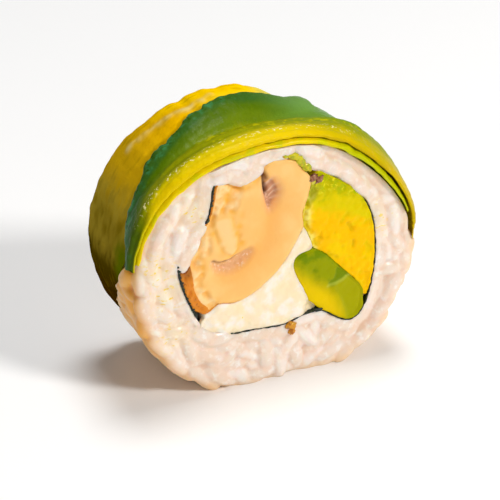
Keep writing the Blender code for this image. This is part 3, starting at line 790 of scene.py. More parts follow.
class Grains:
    """Rice grains, laid one by one: the middle, turn and half size of each."""

    def __init__(self, rng):
        self.rng = rng
        self.laid = []

    def crowded(self, middle, spacing):
        return any((middle - other).length < spacing for other, _, _ in self.laid)

    def lay(self, middle, long_way, outwards, size):
        across = outwards.cross(long_way).normalized()
        turn = Matrix((across.cross(outwards), across, outwards)).transposed()
        self.laid.append((middle, turn, size))

    def size(self):
        scale = self.rng.uniform(0.85, 1.1)
        return [s * scale * self.rng.uniform(0.92, 1.08) for s in GRAIN_HALF_SIZE]

    def cover_face(self, side, count, depths, spacing, spots, room, under_slice):
        """Grains on the cut face at this side, with their tops this far below it."""
        outwards = Vector((0.0, side, 0.0))
        laid = 0
        for (x, z), (to_core, to_hole), covered in zip(spots, room, under_slice):
            room_needed = ROOM_UNDER_SLICE if covered else ROOM_TO_CORE
            if laid == count or to_core < room_needed or to_hole < ROOM_TO_HOLE:
                continue
            size = self.size()
            middle = Vector((x, side * (LENGTH / 2 - self.rng.uniform(*depths) - size[2]), z))
            if middle.z < size[1] or self.crowded(middle, spacing):
                continue
            round_it = math.atan2(z - FACE_MIDDLE_HEIGHT, x) + math.pi / 2
            near_edge = min(to_core, to_hole) < 2.4
            angle = round_it + self.rng.gauss(0.0, 0.25 if near_edge else 0.9)
            tilt = self.rng.uniform(-0.12, 0.12)
            way = Vector((math.cos(angle), tilt, math.sin(angle))).normalized()
            self.lay(middle, way, outwards, size)
            laid += 1

    def line_hole(self, side, hole):
        """Grains on the cut face at this side, laid end to end round the hole."""
        outwards = Vector((0.0, side, 0.0))
        rim = [Vector((x, 0.0, z)) for x, z in grown(hole, GRAIN_HALF_SIZE[1] * 0.75)]
        travelled = NORI_GRAIN_STEP
        for before, after in zip(rim, rim[1:] + rim[:1]):
            travelled += (after - before).length
            if travelled < NORI_GRAIN_STEP:
                continue
            travelled = self.rng.uniform(0.0, 0.8)
            size = self.size()
            top = LENGTH / 2 - self.rng.uniform(0.1, 0.6)
            middle = after + outwards * (top - size[2])
            self.lay(middle, (after - before).normalized(), outwards, size)

    def cover_side(self, outline, slices):
        """Grains round the outside, where no slice lies."""
        laid = 0
        for _ in range(SIDE_TRIES):
            if laid == SIDE_GRAINS:
                return
            along = self.rng.uniform(-outline.length / 2, outline.length / 2)
            depth = self.rng.uniform(FRONT + 1.0, -FRONT - 1.0)
            if any(is_covered(rows, along, depth, 1.6) for rows in slices):
                continue
            (place,), (normal,) = outline.at(np.array([along]))
            outwards = Vector((normal[0], 0.0, normal[1]))
            round_it = Vector((normal[1], 0.0, -normal[0]))
            angle = self.rng.uniform(0.0, math.pi)
            way = Vector((0.0, math.cos(angle), 0.0)) + round_it * math.sin(angle)
            size = self.size()
            rise = self.rng.uniform(0.8, 1.35) - size[2]
            middle = Vector((place[0], depth, place[1])) + outwards * rise
            reach = abs(math.cos(angle)) * size[0] + abs(math.sin(angle)) * size[1]
            if abs(depth) + reach > LENGTH / 2 or self.crowded(middle, SIDE_SPACING):
                continue
            self.lay(middle, way, outwards, size)
            laid += 1

    def mesh(self):
        """All the grains in one mesh."""
        shape = bmesh.new()
        bmesh.ops.create_uvsphere(shape, u_segments=12, v_segments=8, radius=1.0)
        unit = []
        for vertex in shape.verts:
            girth = vertex.co.xy.length
            plump = girth**GRAIN_PLUMPNESS / girth if girth > 0.01 else 1.0
            unit.append(Vector((vertex.co.z, vertex.co.x * plump, vertex.co.y * plump)))
        faces = [[v.index for v in face.verts] for face in shape.faces]
        shape.free()
        points = []
        sides = []
        for middle, turn, size in self.laid:
            start = len(points)
            points += [(middle + turn @ Vector(s * c for s, c in zip(size, p))) * MM for p in unit]
            sides += [[start + i for i in face] for face in faces]
        data = bpy.data.meshes.new("grains")
        data.from_pydata(points, [], sides)
        return bpy.data.objects.new("grains", data)


def lay_rice(outline, core, hole, slices):
    """Grains over both cut faces and round the outside, where no slice lies."""
    rng = random.Random(RICE_SEED)
    grains = Grains(rng)
    for side in (-1, 1):
        outwards = Vector((0.0, side, 0.0))
        for x, z, degrees in RICE_OVER_NORI:
            angle = math.radians(degrees)
            middle = Vector((x, side * (LENGTH / 2 + 0.15 - OVER_NORI_HALF_SIZE[2]), z))
            way = Vector((math.cos(angle), 0.0, math.sin(angle)))
            grains.lay(middle, way, outwards, OVER_NORI_HALF_SIZE)
        grains.line_hole(side, hole)
        for count, depths, spacing in FACE_LAYERS:
            spots = [(rng.uniform(-25.0, 25.0), rng.uniform(0.5, 43.0)) for _ in range(FACE_TRIES)]
            x, z = np.array(spots).T
            room = np.stack([depth_inside(x, z, core[::2]), -depth_inside(x, z, hole[::2])], axis=1)
            along = along_of(outline, x, z)
            edge = side * (LENGTH / 2 - 0.5)
            under_slice = [any(is_covered(rows, a, edge, 0.8) for rows in slices) for a in along]
            grains.cover_face(side, count, depths, spacing, spots, room, under_slice)
    grains.cover_side(outline, slices)
    return grains


def paint_grains(surface, grains):
    """Masks by the grain that each point belongs to: its tint, and how near the next grain is."""
    steps = (-0.75, -0.4, 0.0, 0.4, 0.75)
    tree = kdtree.KDTree(len(grains.laid) * len(steps))
    for index, (middle, turn, size) in enumerate(grains.laid):
        for step in steps:
            tree.insert(middle + turn.col[0] * size[0] * step, index)
    tree.balance()
    rng = random.Random(TINT_SEED)
    tints = [rng.random() for _ in grains.laid]
    tint = np.zeros(len(surface.x))
    seam = np.zeros(len(surface.x))
    for i, point in enumerate(surface.points):
        found = tree.find_n(point, 8)
        own = found[0][1]
        nearest = found[0][2]
        other = next((distance for _, index, distance in found if index != own), nearest + 2.0)
        tint[i] = tints[own]
        seam[i] = other - nearest
    # seam is 1 where one grain meets the next, for the painted shade there.
    surface.paint(
        tint=tint,
        seam=1.0 - smoothstep(0.0, 0.55, seam),
    )


def tuck_in(surface, outline, slices):
    """Pushes what stands out of the rice core under the slices back in."""
    along = along_of(outline, surface.x, surface.z)
    covered = np.zeros(len(along))
    for rows in slices:
        front, back = rows.at(along)[:2]
        across = smoothstep(front - 0.6, front, surface.y) * smoothstep(back + 0.6, back, surface.y)
        near_start = smoothstep(rows.start - 0.6, rows.start, along)
        near_end = smoothstep(rows.end + 0.6, rows.end, along)
        covered = np.maximum(covered, across * near_start * near_end)
    place, normal = outline.at(along)
    out = (surface.x - place[:, 0]) * normal[:, 0] + (surface.z - place[:, 1]) * normal[:, 1]
    pushed = covered * np.maximum(out + UNDER_SLICE_GAP, 0.0)
    surface.x -= normal[:, 0] * pushed
    surface.z -= normal[:, 1] * pushed


def make_rice(outline, core, nori, slices):
    hole = grown(nori, NORI_HALF_THICKNESS)
    grains = lay_rice(outline, core, hole, slices)
    marks = along_of(outline, *np.array(core).T)
    bare = smoothstep(-30.0, -34.0, marks) + smoothstep(32.0, 36.0, marks)
    shrunk = zip(core, grown(core, -CORE_SHRINK), bare)
    inner = [(a[0] + (b[0] - a[0]) * t, max(a[1] + (b[1] - a[1]) * t, 0.4)) for a, b, t in shrunk]
    ring = prism("ring", [inner, hole], FRONT + RING_RECESS, -FRONT - RING_RECESS)
    collar_end = -FRONT - COLLAR_RECESS
    collar = prism("collar", [grown(nori, COLLAR_WIDTH), hole], -collar_end, collar_end)
    rice = remeshed(joined("rice_grains", [ring, collar, grains.mesh()]), RICE_VOXEL, 3)
    with_modifier(rice, "DECIMATE", ratio=RICE_SHARE_KEPT)
    surface = Surface(rice)
    paint_grains(surface, grains)
    tuck_in(surface, outline, slices)
    outer = np.clip(depth_inside(surface.x, surface.z, core[::2]), -2.0, 6.0)
    below = LENGTH / 2 - np.abs(surface.y)
    high = smoothstep(4.0, 16.0, surface.z)
    # Painted shade: warm brown in hollows over a millimetre below the cut faces.
    surface.paint(deep=smoothstep(0.75, 1.2, below) * smoothstep(0.6, 2.0, outer))
    # The sides of the rice get painted warm shade and reflected warm light, strongest at the left and
    # higher up.
    left = 0.25 + 0.75 * smoothstep(2.0, -10.0, surface.x)
    side = smoothstep(1.4, -0.4, outer) * smoothstep(0.0, 1.4, below)
    surface.paint(outside=side * left * (0.35 + 0.65 * high))
    front_only = smoothstep(FRONT + 2.0, FRONT + 1.0, surface.y)
    surface.paint(
        smudges=around_spots(surface, SMUDGES, 2.6) * front_only,
        # rim: painted warm reflected light near the rice's outline, lower down.
        rim=smoothstep(1.6, -0.6, outer) * smoothstep(36.0, 24.0, surface.z),
    )
    surface.z[:] = np.maximum(surface.z, 0.0)
    surface.y[:] = np.clip(surface.y, FRONT, -FRONT)
    surface.done()
    look = Look("rice", (0.86, 0.71, 0.60), (0.24, 0.45), shine=0.35, coat=0.2, subsurface=0.45, reach=2.0)
    look.lay((0.92, 0.81, 0.74), look.between(look.mask("tint"), 0.3, 0.9))
    look.lay((0.96, 0.89, 0.83), look.patches(0.5, 0.68, 1.1, 3.0), 0.8)
    # Painted shade: warmer, darker colour where grains meet.
    look.lay((0.90, 0.60, 0.40), "seam", 0.35)
    # Painted shade in the hollows of the cut faces.
    look.lay((0.62, 0.30, 0.10), "deep", 0.7)
    # Painted warm reflected light near the outer edge, lower down.
    look.lay((0.93, 0.58, 0.28), "rim", 0.65)
    # Painted shade and warm reflected light on the sides of the rice.
    look.lay((0.86, 0.40, 0.03), "outside", 0.95)
    look.lay((0.97, 0.80, 0.42), "smudges", 0.35)
    smears = look.patches(0.62, 0.68, 1.0, 1.0, (1.0, 1.0, 2.2))
    look.lay((0.93, 0.66, 0.03), "smudges", smears)
    look.bump(0.4, 3.0, 0.06)
    dress(rice, look, "rice", "rice")


def nori_scrap(x, z, half_width, half_height):
    """A rolled scrap of nori on the cut face."""
    turns = [math.tau * k / 24 for k in range(24)]
    loop = [
        (
            x + half_width * math.cos(a) * (1.0 + 0.25 * math.sin(3.0 * a)),
            z + half_height * math.sin(a) * (1.0 + 0.3 * math.cos(2.0 * a)),
        )
        for a in turns
    ]
    return prism("scrap", [loop], FRONT - 0.05, FRONT + 1.5)


def make_nori(nori):
    ring = np.array(nori + nori[:1])
    marks = np.concatenate([[0.0], np.cumsum(np.hypot(*np.diff(ring, axis=0).T))])
    total = marks[-1]
    steps = np.arange(0.0, total, 0.1)
    rough = wobble(steps, 0.9, 1)
    fine = wobble(steps, 0.33, 2)
    line = np.stack([np.interp(steps, marks, ring[:, k]) for k in (0, 1)])
    hidden = np.max([within(*line, outline, 0.35) for outline in NORI_HIDDEN], axis=0)
    frayed = within(*line, NORI_FRAYED, 0.4)

    def place(station, around):
        along = station * total
        x, z = (np.interp(along, marks, ring[:, k]) for k in (0, 1))
        before, after = (
            np.stack([np.interp((along + shift) % total, marks, ring[:, k]) for k in (0, 1)])
            for shift in (-0.3, 0.3)
        )
        way = (after - before) / np.hypot(*(after - before))
        here = [np.interp(along % total, steps, values) for values in (rough, fine, hidden, frayed)]
        closes = smoothstep(0.0, 0.6, np.minimum(along, total - along))
        thick = NORI_HALF_THICKNESS + closes * (0.05 * here[0] + 0.08 * here[1])
        thick += here[3] * (FRAYED_THICKER + 0.25 * np.maximum(here[1], 0.0))
        reach = LENGTH / 2 - 0.3 + closes * (0.2 * here[0] + 0.2 * here[1]) - NORI_RECESS * here[2]
        reach = np.minimum(reach, LENGTH / 2)
        depth = -reach * np.clip(np.cos(math.tau * around) * 1.15, -1.0, 1.0)
        side = np.sin(math.tau * around)
        offset = thick * np.sign(side) * np.abs(side) ** 0.3 + closes * 0.14 * here[1]
        return np.stack([x + way[1] * offset, depth, z - way[0] * offset], axis=1)

    sheet = loft("sheet", NORI_STATIONS, NORI_SIDES, place)
    piece = joined("nori_sheet", [sheet, nori_scrap(*NORI_SCRAP)])
    Surface(piece).done()
    look = Look("nori", (0.008, 0.016, 0.008), (0.35, 0.6), shine=0.4)
    look.lay((0.05, 0.075, 0.02), look.patches(0.55, 0.75, 0.8, 4.0))
    look.bump(0.3, 4.0, 0.08)
    dress(piece, look, "nori", "nori")


def filling(name, node, nori, extras=()):
    """A filling's surface, grown out to the nori and to the fillings beside it."""
    s = Surface(remeshed(joined(name, [node_copy(node), *extras]), FILLING_VOXEL, 2))
    to_nori = -depth_inside(s.x, s.z, nori[::2])
    s.swell(s.wall * (FILLING_GROWS + (NORI_GROWS - FILLING_GROWS) * smoothstep(-1.4, -0.5, to_nori)))
    return s


def strongest(masks):
    return np.max(list(masks), axis=0)


def around_spots(s, spots, width):
    """1 at these places on the cut face and fading out round them."""
    return strongest(np.exp(-((np.hypot(s.x - x, s.z - z) / width) ** 2)) for x, z in spots)


def make_mushroom(nori):
    plugs = [
        prism("plug", [grown(smooth_loop(cleft, 3), 0.2)], *ends)
        for cleft, floor in ((UPPER_CLEFT, UPPER_CLEFT_FLOOR), (LOWER_CLEFT, LOWER_CLEFT_FLOOR))
        for ends in ((FRONT + floor, -6.0), (6.0, -FRONT - floor))
    ]
    s = filling("mushroom_slice", "mushroom", nori, plugs)
    big, small, tiny = s.lumps((3.0, 1), (1.1, 2), (0.5, 3))
    crust = s.within(CRUST, 0.25)
    batter = s.within(BATTER, 0.5) * (1.0 - crust)
    chunk = s.within(CHUNK, 0.3)
    chunk_rim = np.exp(-((depth_inside(s.x, s.z, CHUNK) + 0.3) / 0.35) ** 2)
    upper = s.within(UPPER_CLEFT, 0.8)
    slit = s.on_line(CLEFT_SLIT, 0.35)
    hollow = s.within(CLEFT_HOLLOW, 0.9) * (1.0 - chunk)
    cleft_line = along_line(s.x, s.z + 0.3 * small, CLEFT_LINE, 0.22) * smoothstep(-5.6, -7.4, s.x)
    notch = s.on_line(NOTCH, 0.3)
    fold = s.on_line(MUSHROOM_FOLD, 2.3)
    seams = strongest(s.on_line(line, 0.45) for line in MUSHROOM_SEAMS)
    # The chunk's rim joins the seams, as painted shade round the chunk's edge.
    seams = np.maximum(seams, 0.8 * chunk_rim) * np.clip(0.7 + 1.1 * small, 0.0, 1.0)
    spots = around_spots(s, AMBER_SPOTS, 0.6)
    near_upper = smoothstep(-1.4, 0.2, depth_inside(s.x, s.z, UPPER_CLEFT))
    fan = np.arctan2(s.z - FAN_MIDDLE[1], s.x - FAN_MIDDLE[0])
    ribs = np.sin(fan * FAN_RIBS + 1.5 * small) * upper
    relief = 0.25 * seams + 0.5 * fold + 0.3 * near_upper + 0.6 * upper + 0.15 * ribs
    relief += hollow * (0.6 + 0.3 * tiny) + 0.4 * cleft_line + 0.8 * slit + 0.5 * notch + 0.15 * spots
    relief += crust * (0.3 + 0.35 * small + 0.3 * tiny) - 0.25 * chunk * (1.0 + small)
    relief += batter * (1.0 - chunk) * (0.4 + 0.4 * small + 0.4 * big + 0.15 * tiny) + 0.1 * big
    beds = strongest(s.within(outline, 0.5) for outline in LUMP_BEDS)
    s.sink(np.maximum(relief, -0.05) + BED_DEPTH * beds)
    s.swell(s.wall * (0.08 * small + 0.04 * tiny))
    s.paint(
        crust=np.maximum(crust, s.wall * smoothstep(-4.0, -9.0, s.x)),
        crust_top=crust * smoothstep(21.5, 25.0, s.z + small),
        batter=batter,
        # Paler crumbs on the batter's raised lumps, partly painted light.
        crumbs=batter * smoothstep(-0.1, 0.4, -small - 0.5 * tiny),
        # Painted shade: darker orange in the batter's sunk places.
        amber=batter * smoothstep(0.12, 0.4, small + 0.5 * tiny),
        seam=np.maximum(0.75 * seams, spots),
        hollow=hollow,
        # Painted shade under the lower cleft's lip and in the notch.
        dark=np.maximum(0.7 * cleft_line, notch),
        gills=upper,
        slit=slit,
        fold=fold,
        near_gills=near_upper,
        rib=np.clip(ribs, 0.0, 1.0),
        chunk=chunk,
    )
    s.done()
    look = Look(
        "mushroom", (0.98, 0.54, 0.16), (0.3, 0.45), shine=0.2, coat=0.06, subsurface=0.2, reach=1.5
    )
    look.lay((1.0, 0.60, 0.21), look.patches(0.4, 0.7, 4.0, 2.0))
    look.lay((0.99, 0.58, 0.21), "batter")
    # Paler crumbs on the batter's raised lumps, partly painted light.
    look.lay((1.0, 0.67, 0.31), "crumbs")
    # Painted shade: darker orange in the batter's sunk places.
    look.lay((0.96, 0.46, 0.07), "amber", 0.5)
    # Painted shade: darker orange along the line between stem and cap.
    look.lay((0.98, 0.44, 0.09), "fold", 0.6)
    # Painted shade: pinkish brown fading out round the upper gills.
    look.lay((0.90, 0.46, 0.20), "near_gills", 0.6)
    # Paler chunk, partly painted light on its raised face.
    look.lay((1.0, 0.63, 0.26), "chunk")
    # Orange along the joins between the parts, with painted shade round the chunk's edge.
    look.lay((0.96, 0.45, 0.03), "seam", 0.8)
    # Brown-pink of the lower gills, darkened as painted shade where the face is sunk.
    look.lay((0.72, 0.38, 0.22), "hollow", 0.7)
    look.lay((0.92, 0.62, 0.42), "hollow", look.patches(0.56, 0.66, 0.5))
    look.lay((0.60, 0.28, 0.15), look.between(look.mask("gills"), 0.4, 0.8))
    look.lay((0.90, 0.60, 0.42), "rib", 0.9)
    # Painted shade: near black down the narrow gap at the upper gills' edge.
    look.lay((0.10, 0.025, 0.005), "slit")
    # Painted shade under the lower cleft's lip and in the notch.
    look.lay((0.22, 0.07, 0.02), "dark", 0.85)
    look.lay((0.74, 0.24, 0.012), look.broken("crust", 0.7, 0.6))
    look.lay((0.45, 0.11, 0.005), "crust", look.patches(0.54, 0.7, 0.9, 5.0))
    look.lay((0.14, 0.04, 0.005), "crust_top", 0.85)
    look.bump(0.5, 4.0, 0.06)
    dress(s.piece, look, "mushroom", "mushroom")


def make_cheese(nori):
    smears = [
        prism("smear", [smooth_loop(CHEESE_SMEAR, 3)], *ends)
        for ends in ((FRONT + 0.2, FRONT + SMEAR_DEPTH), (-FRONT - SMEAR_DEPTH, -FRONT - 0.2))
    ]
    smears.append(prism("corner", [CHEESE_CORNER], FRONT + 0.6, -FRONT - 0.6))
    s = filling("cheese_filling", "cream_cheese", nori, smears)
    big, small, tiny = s.lumps((3.5, 4), (1.2, 5), (0.6, 18))
    s.sink(0.3 + 0.25 * big + 0.18 * small + 0.1 * tiny)
    s.swell(s.wall * 0.1 * small)
    s.paint(smear=0.5 + 0.5 * big)
    s.done()
    look = Look("cream_cheese", (1.0, 0.80, 0.57), (0.35, 0.5), coat=0.1, subsurface=0.3, reach=1.5)
    look.lay((1.0, 0.78, 0.38), look.broken("smear", 1.5, 0.9, 0.4), 0.35)
    look.lay((1.0, 0.89, 0.79), look.patches(0.42, 0.66, 2.2, 4.0), 0.9)
    look.lay((0.98, 0.72, 0.05), look.patches(0.73, 0.78, 0.9, 2.0))
    look.bump(0.7, 4.0, 0.06)
    dress(s.piece, look, "cream_cheese", "cream_cheese")


def make_large_avocado(nori):
    tip = prism("tip", [LARGE_TIP], FRONT + 0.3, -FRONT - 0.3)
    s = filling("avocado_chunk_large", "avocado_filling_large", nori, [tip])
    big, small, tiny = s.lumps((3.0, 6), (0.9, 7), (0.45, 8))
    lime = s.within(LIME_TOP, 2.2)
    olive = s.within(OLIVE_CORNER, 0.6)
    crumbs = s.on_line(CRUMBLY_EDGE, 0.9)
    creases = strongest(s.on_line(line, 0.3) for line in LARGE_CREASES)
    creases = creases * np.clip(0.6 + 1.2 * small, 0.0, 1.0)
    pits = smoothstep(0.28, 0.5, lumps(s.points, 1.5, 19))
    relief = 0.3 + 0.3 * big + 0.16 * small + 0.06 * tiny + 0.35 * creases + 0.2 * pits
    relief += lime * (0.12 * small + 0.15 * tiny) + crumbs * (0.2 + 0.6 * small + 0.5 * tiny)
    s.sink(relief)
    s.swell(s.wall * (0.1 * small + 0.06 * tiny))
    s.paint(
        lime=lime + 0.25 * small,
        lemon=smoothstep(25.0, 32.0, s.z + 0.4 * s.x - 4.0) + 0.2 * small,
        olive=olive,
        crumbs=crumbs * smoothstep(0.1, -0.3, small),
        edge=crumbs,
        # Painted shade in the sunk crease lines and, more faintly, in the pits.
        creases=np.maximum(creases, 0.3 * pits),
    )
    s.done()
    look = Look("ripe_avocado", (1.0, 0.54, 0.0), (0.3, 0.42), **CHUNK_FINISH)
    look.lay((0.92, 0.60, 0.0), look.patches(0.45, 0.65, 2.4, 4.0))
    look.lay((0.76, 0.60, 0.0), look.broken("lemon", 1.6, 0.5, 0.4))
    look.lay((0.56, 0.50, 0.0), look.broken("lime", 1.2, 0.5, 0.45))
    look.lay((0.42, 0.46, 0.0), look.broken("lime", 1.6, 0.6, 0.3), look.patches(0.42, 0.64, 1.6))
    look.lay((0.80, 0.72, 0.02), "lime", look.patches(0.58, 0.66, 0.7, 4.0))
    look.lay((0.30, 0.30, 0.01), "olive")
    # Painted shade in the crease lines and pits.
    look.lay((0.62, 0.42, 0.0), "creases", 0.6)
    look.lay((0.62, 0.58, 0.03), "edge", 0.6)
    look.lay((0.98, 0.86, 0.20), "crumbs")
    look.bump(0.45, 4.0, 0.08)
    dress(s.piece, look, "avocado_ripe", "avocado_filling_large")


def make_small_avocado(nori):
    s = filling("avocado_chunk_small", "avocado_filling_small", nori)
    big, small = s.lumps((3.0, 9), (0.9, 10))
    wedge = s.within(SMALL_WEDGE, 0.3)
    crease = s.on_line(SMALL_CREASE, 0.25)
    right = s.within(SMALL_RIGHT, 0.5)
    s.sink(0.2 + 0.2 * big + 0.1 * small + 0.35 * right + 0.3 * wedge)
    s.swell(s.wall * 0.08 * small)
    s.paint(
        yellow=s.within(SMALL_YELLOW, 1.8),
        right=right,
        wedge=wedge,
        crease=crease,
    )
    s.done()
    look = Look("green_avocado", (0.30, 0.33, 0.0), (0.3, 0.42), **CHUNK_FINISH)
    look.lay((0.17, 0.25, 0.0), look.patches(0.45, 0.65, 2.6, 3.0))
    look.lay((0.80, 0.56, 0.0), "yellow")
    look.lay((0.38, 0.37, 0.0), "right")
    # Painted shade: darker green in the sunk part between the two lobes.
    look.lay((0.18, 0.25, 0.0), "wedge")
    look.lay((0.60, 0.64, 0.08), "crease", 0.5)
    look.bump(0.6, 4.0, 0.06)
    dress(s.piece, look, "avocado_green", "avocado_filling_small")


def slice_surface(name, outline, rows, under, stations, sides, shape):
    """A draped slice. shape changes its edges and thickness, and says how far its front lip droops."""

    def place(station, around):
        eased = (1.0 - END_CROWDING) * station + END_CROWDING * (0.5 - 0.5 * np.cos(math.pi * station))
        along = rows.start + (rows.end - rows.start) * eased
        front, back, thickness, crown = rows.at(along)
        front, back, thickness, droop = shape(along, front, back, thickness)
        turn = math.tau * around
        across = -np.cos(turn)
        depth = (front + back) / 2 + (back - front) / 2 * across
        bulge = np.sign(np.sin(turn)) * np.abs(np.sin(turn)) ** 0.5
        crowned = thickness * (1.0 + crown * smoothstep(0.0, CROWN_WIDTH, depth - front))
        height = lies_at(under, along, depth) + crowned * (0.5 + 0.5 * bulge)
        height -= SLICE_GAP * np.abs(across) ** 6 + droop * smoothstep(1.2, 0.0, depth - front)
        point, normal = outline.at(along)
        spot = point + normal * height[:, None]
        return np.stack([spot[:, 0], depth, spot[:, 1]], axis=1)

    return Surface(loft(name, stations, sides, place))


def make_upper_slice(outline, lower, back_rows):
    rows = Rows(UPPER_SLICE)

    def shape(along, front, back, thickness):
        ragged = smoothstep(4.0, -6.0, along) * smoothstep(-31.0, -27.0, along)
        jag = 1.1 * wobble(along, 2.6, 1) + 0.4 * wobble(along, 0.8, 2)
        droop = 0.34 + 0.1 * wobble(along, 2.0, 3)
        return front, back + ragged * jag, thickness, droop

    s = slice_surface("slice_front_upper", outline, rows, [lower, back_rows], 460, 96, shape)
    along = along_of(outline, s.x, s.z)
    front, back = rows.at(along)[:2]
    normal = outline.at(along)[1]
    lean = np.clip(s.normals[:, 0] * normal[:, 0] + s.normals[:, 2] * normal[:, 1], 0.0, 1.0)
    left = smoothstep(-18.0, -26.0, along)
    # At the left, surfaces leaning outwards run further into the green: painted shade on the shaded left
    # side.
    inwards = s.y - front + 1.3 * lean * left
    big, small = s.lumps((4.0, 11), (1.2, 12))
    fine = lumps(s.points * np.array([1.0, 2.5, 1.0]), 1.0, 13)
    grooves = strongest(along_line(along, s.y, line, 0.5) for line in GROOVES)
    lip = np.exp(-(((inwards - 1.3 - 0.25 * big) / 0.5) ** 2)) * smoothstep(24.0, 10.0, along)
    s.swell(0.14 * big + 0.08 * small + 0.05 * fine - 0.25 * grooves - 0.22 * lip)
    reach = np.interp(along, *np.array(GREEN_REACH).T)
    s.paint(
        inwards=np.clip(inwards / reach + 0.07 * big + 0.03 * fine, 0.0, 1.0),
        # The band along the jagged back edge where a painted blue-green sheen lies.
        teal=smoothstep(2.6, 0.8, back - s.y + 0.8 * small) * smoothstep(4.0, -4.0, along),
        pale=smoothstep(1.0, 13.0, along),
        left=left,
        groove=grooves * smoothstep(-12.0, -6.0, along),
    )
    # A band along the top of the lip, where glints are painted.
    crest = np.exp(-(((inwards - 2.3 - 0.3 * big) / 0.6) ** 2))
    s.paint(crest=crest * smoothstep(20.0, 4.0, along) * smoothstep(-26.0, -20.0, along))
    s.done()
    look = Look("green_slice", (0.3, 0.3, 0.0), (0.3, 0.42), shine=0.05, coat=0.02, subsurface=0.05)
    look.lay(look.ramp("inwards", GREEN_STOPS))
    look.lay(look.ramp("inwards", PALE_STOPS), "pale")
    # Darker greens at the left end, partly painted shade.
    look.lay(look.ramp("inwards", LEFT_STOPS), "left")
    # Painted reflection: a blue-green sheen in patches along the back edge.
    look.lay((0.05, 0.22, 0.07), "teal", look.patches(0.44, 0.62, 1.5, 5.0))
    # Darker green patches in the same band.
    look.lay((0.03, 0.09, 0.0), "teal", look.patches(0.56, 0.66, 0.9, 5.0))
    look.lay((0.52, 0.48, 0.0), "groove", look.patches(0.5, 0.62, 1.2, 4.0))
    # Painted glints: pale yellow specks along the top of the lip.
    look.lay((1.0, 0.90, 0.42), "crest", look.patches(0.58, 0.64, 0.5, 2.0))
    look.bump(0.6, 4.0, 0.1)
    dress(s.piece, look, "avocado_slice_green", "avocado_slice_front_upper")


def make_lower_slice(outline):
    rows = Rows(LOWER_SLICE)

    def shape(along, front, back, thickness):
        ripple = wobble(along, 1.1, 4)
        droop = 0.2 + 0.25 * wobble(along, 2.6, 5) + 0.08 * ripple
        return front, back, thickness * (1.0 + 0.2 * ripple), droop

    s = slice_surface("slice_front_lower", outline, rows, [], 340, 48, shape)
    along = along_of(outline, s.x, s.z)
    s.swell(0.08 * lumps(s.points, 1.2, 14))
    s.paint(
        right=smoothstep(4.0, 16.0, along),
        # The part under the upper slice: its greener flesh, with painted shade.
        behind=smoothstep(-9.8, -8.8, s.y),
    )
    s.done()
    look = Look("yellow_slice", (0.86, 0.64, 0.0), (0.25, 0.38), shine=0.08, coat=0.06, subsurface=0.05)
    look.lay((0.68, 0.62, 0.0), look.patches(0.45, 0.65, 2.5, 3.0))
    look.lay((0.52, 0.54, 0.0), "right")
    # Painted shade over the slice's green under the upper slice.
    look.lay((0.12, 0.22, 0.0), "behind")
    look.bump(0.5, 4.0, 0.08)
    dress(s.piece, look, "avocado_slice_yellow", "avocado_slice_front_lower")


def make_back_slice(outline):
    rows = Rows(BACK_SLICE)

    def shape(along, front, back, thickness):
        fine = wobble(along, 2.0, 6)
        return front, back + 0.3 * fine - 0.3, thickness * (1.0 + 0.12 * fine), 0.0

    s = slice_surface("slice_back", outline, rows, [], 440, 84, shape)
    along = along_of(outline, s.x, s.z)
    big, small = s.lumps((4.0, 16), (1.3, 17))
    fibres = lumps(np.stack([along / 3.2, s.y, 0.0 * along], axis=1), 0.8, 20)
    # A raised line where a pale highlight is painted.
    streak = along_line(along + 0.8 * big, s.y + 0.5 * small, STREAK, 0.6)
    streak = streak * np.clip(0.7 + 0.8 * small, 0.0, 1.0)
    mustard = smoothstep(-36.0, -31.0, along) * smoothstep(-19.0, -25.0, along)
    s.swell(0.14 * big + 0.05 * small + 0.2 * streak + 0.06 * fibres * smoothstep(-20.0, -28.0, along))
    s.paint(
        along=np.clip((along + 50.0) / 60.0 + 0.02 * big, 0.0, 1.0),
        streak=streak,
        mustard=mustard * np.clip(0.6 + 0.9 * fibres + 0.5 * big, 0.0, 1.0),
        green_edge=smoothstep(-1.6, -5.2, s.y + 0.9 * small) * smoothstep(-27.0, -31.0, along),
        fibres=0.5 + 0.5 * fibres,
        # Painted light: brighter yellow on the back slice's top.
        glow=within(along, s.y, GLOW, 1.6),
    )
    s.done()
    look = Look("gold_slice", (0.6, 0.4, 0.0), (0.25, 0.4), shine=0.0, subsurface=0.05)
    # Gold to blackish brown towards the left end, partly painted shade.
    look.lay(look.ramp("along", GOLD_STOPS))
    # Painted light: brighter yellow on the back slice's top.
    look.lay((0.95, 0.58, 0.0), "glow")
    look.lay((0.46, 0.33, 0.03), "mustard", 0.8)
    look.lay((0.12, 0.16, 0.0), "green_edge")
    look.lay((0.20, 0.13, 0.0), look.between(look.mask("fibres"), 0.5, 0.8), 0.3)
    # Painted highlight: a pale line along the raised ridge.
    look.lay((0.76, 0.58, 0.18), "streak")
    look.bump(0.7, 4.0, 0.1)
    dress(s.piece, look, "avocado_slice_gold", "avocado_slice_back")


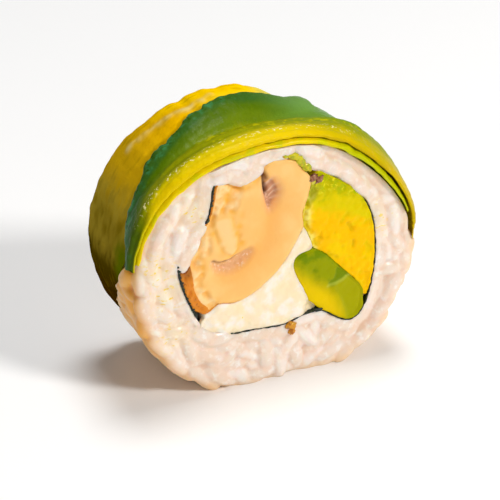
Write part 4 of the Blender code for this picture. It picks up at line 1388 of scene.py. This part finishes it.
def lumpy_bits(name, bits, colours, slot, roughness):
    """Small lumps on the front face in one mesh: middle, half sizes along X, Y and Z, and turn."""
    pieces = []
    for x, z, half_x, half_y, half_z, degrees in bits:
        lump = bmesh.new()
        bmesh.ops.create_icosphere(lump, subdivisions=3, radius=1.0)
        turn = Matrix.Rotation(math.radians(degrees), 3, "Y")
        for vertex in lump.verts:
            rough = 1.0 + 0.45 * noise.noise(vertex.co * 1.6 + Vector((x, z, 0.0)))
            rough += 0.2 * noise.noise(vertex.co * 4.0 + Vector((z, x, 5.0)))
            lying = turn @ (Vector((half_x, half_y, half_z)) * vertex.co * rough)
            vertex.co = (Vector((x, FRONT + BIT_SUNK, z)) + lying) * MM
        data = bpy.data.meshes.new("lump")
        lump.to_mesh(data)
        lump.free()
        pieces.append(bpy.data.objects.new("lump", data))
    piece = joined(name, pieces)
    piece.data.shade_smooth()
    base, patches, spots = colours
    look = Look(name, base, roughness, coat=0.15)
    look.lay(patches, look.patches(0.45, 0.6, 0.6, 4.0))
    look.lay(spots, look.patches(0.6, 0.68, 0.35, 4.0))
    look.bump(0.25, 4.0, 0.08)
    dress(piece, look, slot)


def make_bits():
    lumpy_bits("crumb", CRUMB, CRUMB_COLOURS, "mushroom", (0.4, 0.6))
    lumpy_bits("shred", SHRED, SHRED_COLOURS, "mushroom", (0.35, 0.6))
    lumpy_bits("green_scraps", GREEN_SCRAPS, GREEN_SCRAP_COLOURS, "avocado_green", (0.3, 0.5))


def main():
    core = pressed_flat(smooth_loop(RICE_CORE, 4))
    nori = smooth_loop(NORI, 4)
    outline = Outline(core)
    lower, back, upper = Rows(LOWER_SLICE), Rows(BACK_SLICE), Rows(UPPER_SLICE)
    make_camera()
    make_stage()
    make_rice(outline, core, nori, [lower, back, upper])
    make_nori(nori)
    make_mushroom(nori)
    make_cheese(nori)
    make_large_avocado(nori)
    make_small_avocado(nori)
    make_lower_slice(outline)
    make_back_slice(outline)
    make_upper_slice(outline, lower, back)
    make_bits()


main()
